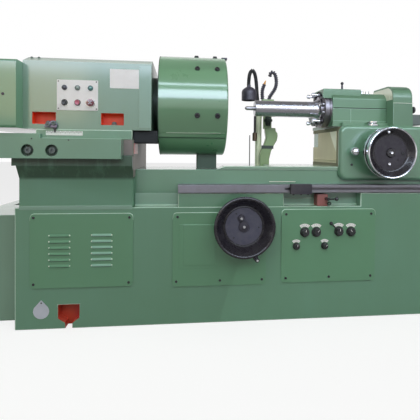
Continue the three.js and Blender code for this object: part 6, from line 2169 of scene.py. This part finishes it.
    def pointer(self) -> None:
        """Build the steel pointer block with its slope, hexagon screws and black pointer."""
        outline = [(-1.352, 1.046), (-1.290, 1.042), (-1.287, 1.058), (-1.300, 1.080), (-1.316, 1.078),
                   (-1.340, 1.060)]
        block = Bench.cut_out("pointer_block", outline, 0.018)
        Bench.mount(block, (0, self.face, 0), Facing.FRONT)
        Bench.eased(block, 0.0018, 2)
        place_piece(Bench.polished(block), POINTER_STEEL, "work_head", "swivel_pointer")
        screws = [spot((-1.330, self.face - 0.017, 1.058), Facing.FRONT, 10),
                  spot((-1.303, self.face - 0.017, 1.066), Facing.FRONT)]
        Screw(0.0115, 0.012, 0.0052, GREY).set_in("pointer_screws", "work_head", screws)
        tip = Bench.cut_out("pointer_tip", [(-1.310, 1.045), (-1.289, 1.045), (-1.2995, 1.016)], 0.003)
        Bench.mount(tip, (0, self.face - 0.0075, 0), Facing.FRONT)
        place_piece(tip, BLACK, "work_head")

    def plugs(self) -> None:
        """Turn the two thread plugs on top of the headstock."""
        plug = Bench.turned("lifting_plugs", [(0, -0.01), (0.011, -0.01), (0.011, 0.003), (0.0065, 0.004),
                                              (0.0065, 0.008), (0.005, 0.0095), (0, 0.0095)], 24)
        places = [spot((x, -0.325, 1.412)) for x in self.plug_x]
        place_piece(Bench.polished(Bench.copies(plug, places)), DARK_IRON, "work_head")

    def end_strip(self) -> None:
        """Lay the proud strip at the headstock's right end, pale as a painted highlight."""
        place_bar("headstock_end_strip", (-0.879, self.face - 0.0044, 1.0500),
                  (-0.8175, self.face + 0.001, 1.3760), 0.0014, 2, GREEN_LIT, "work_head")

    def build(self) -> None:
        """Build all small parts of the work head."""
        self.control_plate()
        self.name_plate()
        self.pocket_linings()
        self.pointer()
        self.plugs()
        self.end_strip()
        COVER_SCREW.set_in("left_cover_screws", "work_head",
                           [spot((-1.520, -0.491, 1.201), Facing.FRONT, 10)])


@dataclass
class BridgeDetail:
    """The scale, the bridge's bolts in their counterbores and the small screws."""

    bar_face: float = -0.500
    bores: tuple[float, ...] = (-1.405, -1.291)

    def build(self) -> None:
        """Build the bolts, the scale, the side sheets and the top ledge."""
        y = self.bar_face + 0.022
        bolts = [spot((x, y, 0.927), Facing.FRONT, 15 * i) for i, x in enumerate(self.bores)]
        BRIDGE_SCREW.set_in("bridge_bolts", "bed", bolts)
        # Dark green rims inside the counterbores: painted shade in the recesses.
        ring = Bench.turned("counterbore_shade_rims", [(0.0172, -0.0005), (0.0298, -0.0005), (0.0298, 0.0212),
                                                 (0.0285, 0.0212), (0.0270, 0.002), (0.0172, 0.002),
                                                 (0.0172, -0.0005)], 40)
        place_piece(Bench.polished(Bench.copies(ring, bolts)), GREEN_DARK, "bed")
        strip = Bench.cut_out("scale_strip", rounded_box((-1.345, -1.163), (1.005, 1.027), 0.002, 3),
                              0.0012)
        Bench.mount(strip, (0, -0.4158, 0), Facing.FRONT)
        place_piece(strip, WHITE, "bed")
        tick = Bench.block("scale_marks", (-0.0006, -0.0004, 0), (0.0006, 0, 1))
        tick.scale.z = 0.008
        Bench.settle(tick)
        places = [Matrix.Translation((-1.340 + 0.0045 * i, -0.4170, 1.0185 if i % 5 else 1.0145))
                  for i in range(39)]
        place_piece(Bench.copies(tick, places), GREEN_DARK, "bed")
        # Thin sheets in the lit grey lie on the bridge's end and side as painted light; the red sheet is red
        # primer.
        for name, low, high, finish in (
                ("bridge_end_sheet", (-0.996, -0.4128, 0.7900), (-0.9105, -0.4090, 0.9860), SIDE_LIT_GREY),
                ("bridge_side_sheet", (-0.9085, -0.4110, 0.7900), (-0.9068, 0.2800, 0.9860), SIDE_LIT_GREY),
                ("bridge_red_sheet", (-0.9070, -0.4000, 0.9120), (-0.9052, -0.2300, 0.9700), RED_PRIMER)):
            place_bar(name, low, high, 0.0006, 1, finish, "bed")
        place_bar("bridge_top_ledge", (-1.700, -0.440, 0.9800), (-1.3650, -0.200, 1.0125), 0.003, 3, GREEN,
                  "bed")
        SMALL_SCREW.set_in("bridge_small_screws", "bed", [spot((-1.210, self.bar_face, 0.979),
                                                               Facing.FRONT),
                                                          spot((-1.384, self.bar_face, 0.984), Facing.FRONT,
                                                               25)])


@dataclass
class TableDetail:
    """The dogs' studs, the reversing lever with its valve, and the table's painted highlight line."""

    lever_pivot: Pair = (0.150, 0.672)
    dog_screw_place: Pair = (-0.4313, 0.701)
    dog_screws: tuple[Triple, Triple] = ((-0.045, -0.003, 0.037), (0.868, 0.910, 0.951))

    def build(self) -> None:
        """Build the small parts at the table's front."""
        stud = Screw(0.0045, 0.006, 0.0022, DARK_IRON)
        y, z = self.dog_screw_place
        for side, across in zip(("left", "right"), self.dog_screws):
            places = [spot((x, y, z), Facing.DOWN) for x in across]
            stud.set_in(f"{side}_dog_screws", f"{side}_dog", places)
        x, z = self.lever_pivot
        pivot = Bench.turned("pivot", [(0, -0.039), (0.0088, -0.039), (0.0088, 0.030), (0.0065, 0.034),
                                       (0, 0.034)], 28)
        Bench.mount(pivot, (x, FRONT_FACE, z), Facing.FRONT)
        start, end = Vector((x, FRONT_FACE - 0.026, z)), Vector((x + 0.034, FRONT_FACE - 0.062, z + 0.006))
        along = end - start
        rod = Bench.turned("rod", [(0, 0), (0.0048, 0), (0.0038, along.length), (0, along.length)], 20)
        Bench.aim(rod, start, along)
        ball = Bench.turned("ball", [(0, -0.0115), *arc(0.0115, -80, 80, 14), (0, 0.0115)], 28)
        ball.location = end
        Bench.settle(ball)
        lever = Bench.joined("reversing_lever_turned", [pivot, rod, ball])
        place_piece(Bench.polished(lever, 40), ENAMEL, "reversing_lever", "reversing_lever")
        low, high = (0.098, -0.4045, 0.6303), (0.1605, -0.3355, 0.6965)
        valve = Bench.block("reversing_valve_box", low, high)
        Bench.eased(valve, 0.004, 3)
        Bench.drilled(valve, (x, -0.4045, z), 0.0091, 0.1, 0.01)
        place_piece(Bench.polished(valve), PINK, "bed", "reversing_valve")
        place_bar("table_highlight_line", (-0.158, -0.3232, 0.7585), (-0.004, -0.3190, 0.7625), 0.001, 2,
                  PALE_LIT_SHEET, "table")
        port = Bench.turned("valve_port", [(0.0045, 0), (0.0115, 0), (0.0115, 0.010), (0.0095, 0.012),
                                           (0.0045, 0.012), (0.0045, 0)], 28)
        fit(port, (0.1655, FRONT_FACE + 0.004, 0.646), Facing.FRONT, GREEN_DARK, "bed")


def smooth_route(points: Sequence[Point], pitch: float) -> list[tuple[Vector, Vector]]:
    """Walk a smooth curve through points.

    Args:
        points: The route's points, in metres.
        pitch: The distance between two steps.

    Returns:
        A place and a direction for each step.
    """
    knots = [Vector(p) for p in points]
    knots = [2 * knots[0] - knots[1], *knots, 2 * knots[-1] - knots[-2]]
    fine = []
    for a, b, c, d in zip(knots, knots[1:], knots[2:], knots[3:]):
        for i in range(24):
            t = i / 24
            curve = 2 * b + (c - a) * t + (2 * a - 5 * b + 4 * c - d) * t * t
            fine.append(0.5 * (curve + (3 * b - a - 3 * c + d) * t ** 3))
    fine.append(knots[-2])
    steps = []
    walked, target = 0.0, 0.0
    for p, q in zip(fine, fine[1:]):
        length = (q - p).length
        while walked + length >= target:
            steps.append((p.lerp(q, (target - walked) / length), (q - p).normalized()))
            target += pitch
        walked += length
    return steps


LEFT_HOSE = [(-0.110, 0.150, 1.2923), (-0.110, 0.150, 1.310), (-0.112, 0.148, 1.330),
             (-0.110, 0.145, 1.360), (-0.101, 0.142, 1.388)]
RIGHT_HOSE = [(-0.062, 0.150, 1.2923), (-0.062, 0.150, 1.305), (-0.045, 0.148, 1.332),
              (-0.024, 0.146, 1.366), (-0.015, 0.145, 1.400), (-0.016, 0.145, 1.432),
              (-0.024, 0.145, 1.462), (-0.038, 0.145, 1.478), (-0.052, 0.145, 1.474),
              (-0.058, 0.145, 1.460)]
LAMP_NECK = [(-0.126, 0.200, 1.186), (-0.128, 0.198, 1.240), (-0.140, 0.184, 1.320), (-0.152, 0.165, 1.415),
             (-0.165, 0.155, 1.468), (-0.183, 0.150, 1.488), (-0.200, 0.150, 1.462), (-0.206, 0.150, 1.410),
             (-0.206, 0.150, 1.366)]


@dataclass
class Coolant:
    """The jointed coolant hoses, their valve and pipes, and the work lamp on its neck."""

    bead: float = 0.0130
    pitch: float = 0.013
    post_place: Triple = (-0.126, 0.200, 0)
    pipe_place: Triple = (-0.1585, 0.162, 0)
    thin_pipe_place: Triple = (-0.190, 0.180, 0)
    valve_place: Triple = (-0.074, 0.126, 1.143)
    stem_place: Triple = (-0.074, 0.108, 1.143)
    shade_place: Triple = (-0.203, 0.150, 1.374)
    collar_place: Triple = (-0.205, 0.150, 1.374)

    def beads(self, name: str, route: Sequence[Point], node: str) -> None:
        """String one modelled hose link along a route.

        Args:
            name: The piece's name.
            route: The route's points.
            node: The CAD node.
        """
        r, p = self.bead, self.pitch
        link = Bench.turned(name, [(0, 0), (r * 0.65, 0), (r * 0.67, p * 0.22), (r, p * 0.30),
                                   (r * 1.02, p * 0.62), (r * 0.94, p * 0.86), (r * 0.72, p * 1.02),
                                   (0, p * 1.02)], 20)
        places = [leaning(place, direction) for place, direction in smooth_route(route, p)]
        hose = Bench.copies(link, places)
        place_piece(Bench.polished(hose, 50), HOSE, "bed", node)

    def nozzle(self) -> None:
        """Turn the orange nozzle at the end of the left hose."""
        place, direction = smooth_route(LEFT_HOSE, 0.001)[-1]
        tip = Bench.turned("hose_nozzle", [(0, 0), (0.0088, 0), (0.009, 0.010), (0.0072, 0.016),
                                           (0.0040, 0.030), (0.0034, 0.034), (0.0021, 0.034),
                                           (0.0021, 0.030), (0, 0.030)], 28)
        Bench.aim(tip, place, direction)
        place_piece(Bench.polished(tip), ORANGE, "bed")

    def lamp(self) -> None:
        """Build the lamp's ribbed neck, its post and its shade."""
        rib = Bench.turned("lamp_neck", [(0, 0), (0.0108, 0), (0.0128, 0.0018), (0.0128, 0.0040),
                                         (0.0108, 0.0060), (0, 0.0060)], 16)
        neck = Bench.copies(rib, [leaning(p, d) for p, d in smooth_route(LAMP_NECK, 0.0058)])
        place_piece(Bench.polished(neck, 50), BLACK, "bed")
        shade = [(0, 0), (0.018, 0), (0.023, -0.002), (0.034, -0.010), (0.046, -0.020), (0.0500, -0.031),
                 (0.051, -0.040), (0.051, -0.089), (0.0505, -0.092), (0.048, -0.092), (0.048, -0.034),
                 (0.043, -0.024), (0.022, -0.005), (0, -0.003)]
        cup = Bench.turned("shade", shade, 48)
        Bench.mount(cup, self.shade_place)
        collar = Bench.turned("collar", [(0, -0.002), (0.013, -0.002), (0.013, 0.014), (0.010, 0.018),
                                         (0, 0.018)], 28)
        Bench.mount(collar, self.collar_place)
        post = Bench.turned("post", [(0, 0.630), (0.024, 0.630), (0.024, 0.641), (0.0235, 0.6425),
                                     (0.0225, 0.6425), (0.0225, 1.166), (0.025, 1.168), (0.025, 1.188),
                                     (0.020, 1.192), (0, 1.192)], 36)
        Bench.mount(post, self.post_place)
        place_piece(Bench.polished(Bench.joined("work_lamp_shade", [cup, collar])), LAMP_BLACK, "bed",
                    "work_lamp")
        place_piece(Bench.polished(post), CREAM, "bed")

    def pipes(self) -> None:
        """Stand the valve's parts and the thin pipes behind the table."""
        dark = Bench.rod("dark_pipe", 0.0075, 1.062, 1.190, 24)
        fit(dark, self.pipe_place, Facing.UP, DARK_IRON, "bed")
        brown = Bench.turned("pipe_fitting", [(0, 1.006), (0.013, 1.006), (0.016, 1.010), (0.016, 1.058),
                                              (0.012, 1.064), (0, 1.064)], 28)
        fit(brown, self.pipe_place, Facing.UP, BRASS, "bed")
        thin = Bench.rod("thin_pipe", 0.0032, 0.640, 1.046, 16)
        fit(thin, self.thin_pipe_place, Facing.UP, DARK_IRON, "bed")
        body = Bench.turned("valve_body", [(0, -0.034), (0.015, -0.034), (0.019, -0.028), (0.019, -0.010),
                                           (0.030, -0.004), (0.030, 0.010), (0.021, 0.018), (0.021, 0.032),
                                           (0.027, 0.036), (0.027, 0.052), (0, 0.052)], 32)
        Bench.mount(body, self.valve_place)
        stem = Bench.turned("stem", [(0, 0), (0.009, 0), (0.009, 0.014), (0.014, 0.016), (0.014, 0.024),
                                     (0.011, 0.027), (0, 0.027)], 24)
        Bench.mount(stem, self.stem_place, Facing.FRONT)
        valve = Bench.joined("coolant_valve", [body, stem])
        place_piece(Bench.polished(valve), BLACK_GREEN, "bed")

    def stand(self) -> None:
        """Cut the cast stand's bent outline, round it and set the manifold on it; a dark band at the bend is
        painted shade.
        """
        outline = [(-0.128, 0.6302), (-0.060, 0.6302), (-0.062, 0.880), (-0.050, 0.935), (-0.022, 0.990),
                   (-0.010, 1.010), (-0.004, 1.040), (-0.006, 1.062), (-0.018, 1.074), (-0.020, 1.096),
                   (-0.092, 1.096), (-0.090, 1.070), (-0.084, 1.030), (-0.096, 0.985), (-0.120, 0.935),
                   (-0.127, 0.900)]
        arm = Bench.cut_out("stand_arm", outline, 0.050)
        Bench.mount(arm, (0, 0.175, 0), Facing.FRONT)
        Bench.eased(arm, 0.006, 3, 25)
        column = Bench.block("column", (-0.100, 0.128, 1.090), (-0.048, 0.172, 1.200))
        Bench.eased(column, 0.003, 2)
        manifold = Bench.block("manifold", (-0.115, 0.128, 1.196), (-0.033, 0.172, 1.292))
        Bench.eased(manifold, 0.003, 3)
        stand = Bench.joined("coolant_stand_cast", [arm, column, manifold])
        place_piece(Bench.polished(stand), STAND_PAINT, "bed", "coolant_stand")
        place_bar("stand_bend_shade", (-0.118, 0.1235, 0.953), (-0.034, 0.1256, 0.975), 0.0008, 1, BLACK_GREEN,
                  "bed")

    def build(self) -> None:
        """Build hoses, lamp and pipes."""
        self.stand()
        self.beads("coolant_hose_left_links", LEFT_HOSE, "coolant_hose_left")
        self.beads("coolant_hose_right_links", RIGHT_HOSE, "coolant_hose_right")
        self.nozzle()
        self.lamp()
        self.pipes()


@dataclass
class Motors:
    """The two motors with cooling fins, end bells and terminal boxes."""

    fins: int = 40

    def motor(self, name: str, start: float, length: float, y: float, z: float, radius: float,
              foot_low: float, body: str, node: str) -> None:
        """Build one motor along X.

        Args:
            name: The motor's name.
            start: The X of its left end.
            length: Its length.
            y: Its axis' Y.
            z: Its axis' Z.
            radius: Its radius over the fins.
            foot_low: The height that its feet stand on.
            body: The body that it rides on.
            node: The CAD node that it stands for.
        """
        core = radius - 0.010
        profile = [(0, 0), (core * 0.7, 0), (core, 0.012), (core + 0.004, 0.016), (core + 0.004, 0.040),
                   (core, 0.042), (core, length - 0.042), (core + 0.004, length - 0.040),
                   (core + 0.004, length - 0.016), (core, length - 0.012), (core * 0.7, length),
                   (0, length)]
        barrel = Bench.turned("barrel", profile, 72)
        Bench.mount(barrel, (start, y, z), Facing.RIGHT)
        fin = Bench.block("fin", (core - 0.002, -0.0017, 0.045), (radius, 0.0017, length - 0.045))
        turns = [360 * i / self.fins for i in range(self.fins)]
        fins = Bench.copies(fin, [spot((start, y, z), Facing.RIGHT, t) for t in turns])
        feet = Bench.block("feet", (start + 0.06, y - 0.06, foot_low), (start + length - 0.06, y + 0.06,
                                                                        z - radius * 0.6))
        Bench.eased(feet, 0.004, 2)
        box = Bench.block("box", (start + length * 0.36, y - 0.045, z + core - 0.01),
                          (start + length * 0.64, y + 0.045, z + radius + 0.006))
        Bench.eased(box, 0.004, 2)
        motor = Bench.joined(f"{name}_finned", [barrel, fins, feet, box])
        place_piece(Bench.polished(motor, 30), GREY, body, node)

    def build(self) -> None:
        """Build both motors."""
        self.motor("work_motor", -1.400, 0.310, 0.360, 1.180, 0.105, 1.061, "work_head", "work_motor")
        self.motor("grinding_motor", 0.262, 0.280, 0.230, 1.205, 0.092, 1.1123, "wheelhead",
                   "grinding_motor")


@dataclass
class Chuck:
    """The three-jaw chuck and the work spindle behind it."""

    body_round: float = 0.0012
    jaw_round: float = 0.0015
    shortest_edge: float = 0.02
    jaws: tuple[int, ...] = (1, 2, 3)

    def build(self) -> None:
        """Build spindle, chuck body and jaws."""
        spindle = [(0, -1.655), (0.068, -1.655), (0.070, -1.653), (0.070, -1.640), (0.147, -1.640),
                   (0.150, -1.637), (0.150, -1.573), (0.147, -1.570), (0.070, -1.570), (0.070, -0.812),
                   (0.110, -0.812), (0.110, -0.7103), (0, -0.7103)]
        obj = Bench.turned("work_spindle_turned", spindle, 72)
        fit(obj, (0, AXIS_Y, AXIS_Z), Facing.RIGHT, STEEL_TURNED, "work_spindle", "work_spindle")
        body = Bench.cast_copy("chuck_cast", "chuck_body")
        Bench.eased_where(body, self.body_round, 2, convex_long_edge(self.shortest_edge, 40))
        place_piece(Bench.polished(body), STEEL_TURNED, "work_spindle", "chuck_body")
        for index in self.jaws:
            jaw = Bench.cast_copy(f"chuck_jaw_{index}_cast", f"chuck_jaw_{index}")
            Bench.eased_where(jaw, self.jaw_round, 2, convex_long_edge(self.shortest_edge, 40))
            place_piece(Bench.polished(jaw), STEEL, f"jaw_{index}", f"chuck_jaw_{index}")


PLAIN_NODES = {
    STEEL: ("front_way", "rear_way", "table_cylinder", "piston_rod"),
    IRON: ("grinding_motor_pulley", "work_motor_pulley"),
}


def dress_plain_nodes() -> None:
    """Give every CAD node that is seen as it is its finish."""
    for finish, names in PLAIN_NODES.items():
        for name in names:
            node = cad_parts[name]
            node.data.materials.clear()
            node.data.materials.append(finish.material())
            LOG.info("%s keeps its CAD shape in %s", name, finish.name)


def main() -> None:
    """Build the studio and every sub-assembly."""
    logging.basicConfig(level=logging.INFO, format="%(message)s")
    Bench.clear()
    Studio().build()
    dress_plain_nodes()
    for assembly in (Castings(), Apron(), BedFront(), ControlKnobs(), TableWheel(), CrossWheel(),
                     DrumGuard(), GrindingHead(), WorkHead(), BridgeDetail(), TableDetail(), Coolant(),
                     Motors(), Chuck()):
        LOG.info("building %s", type(assembly).__name__)
        assembly.build()


if __name__ == "__main__":
    main()
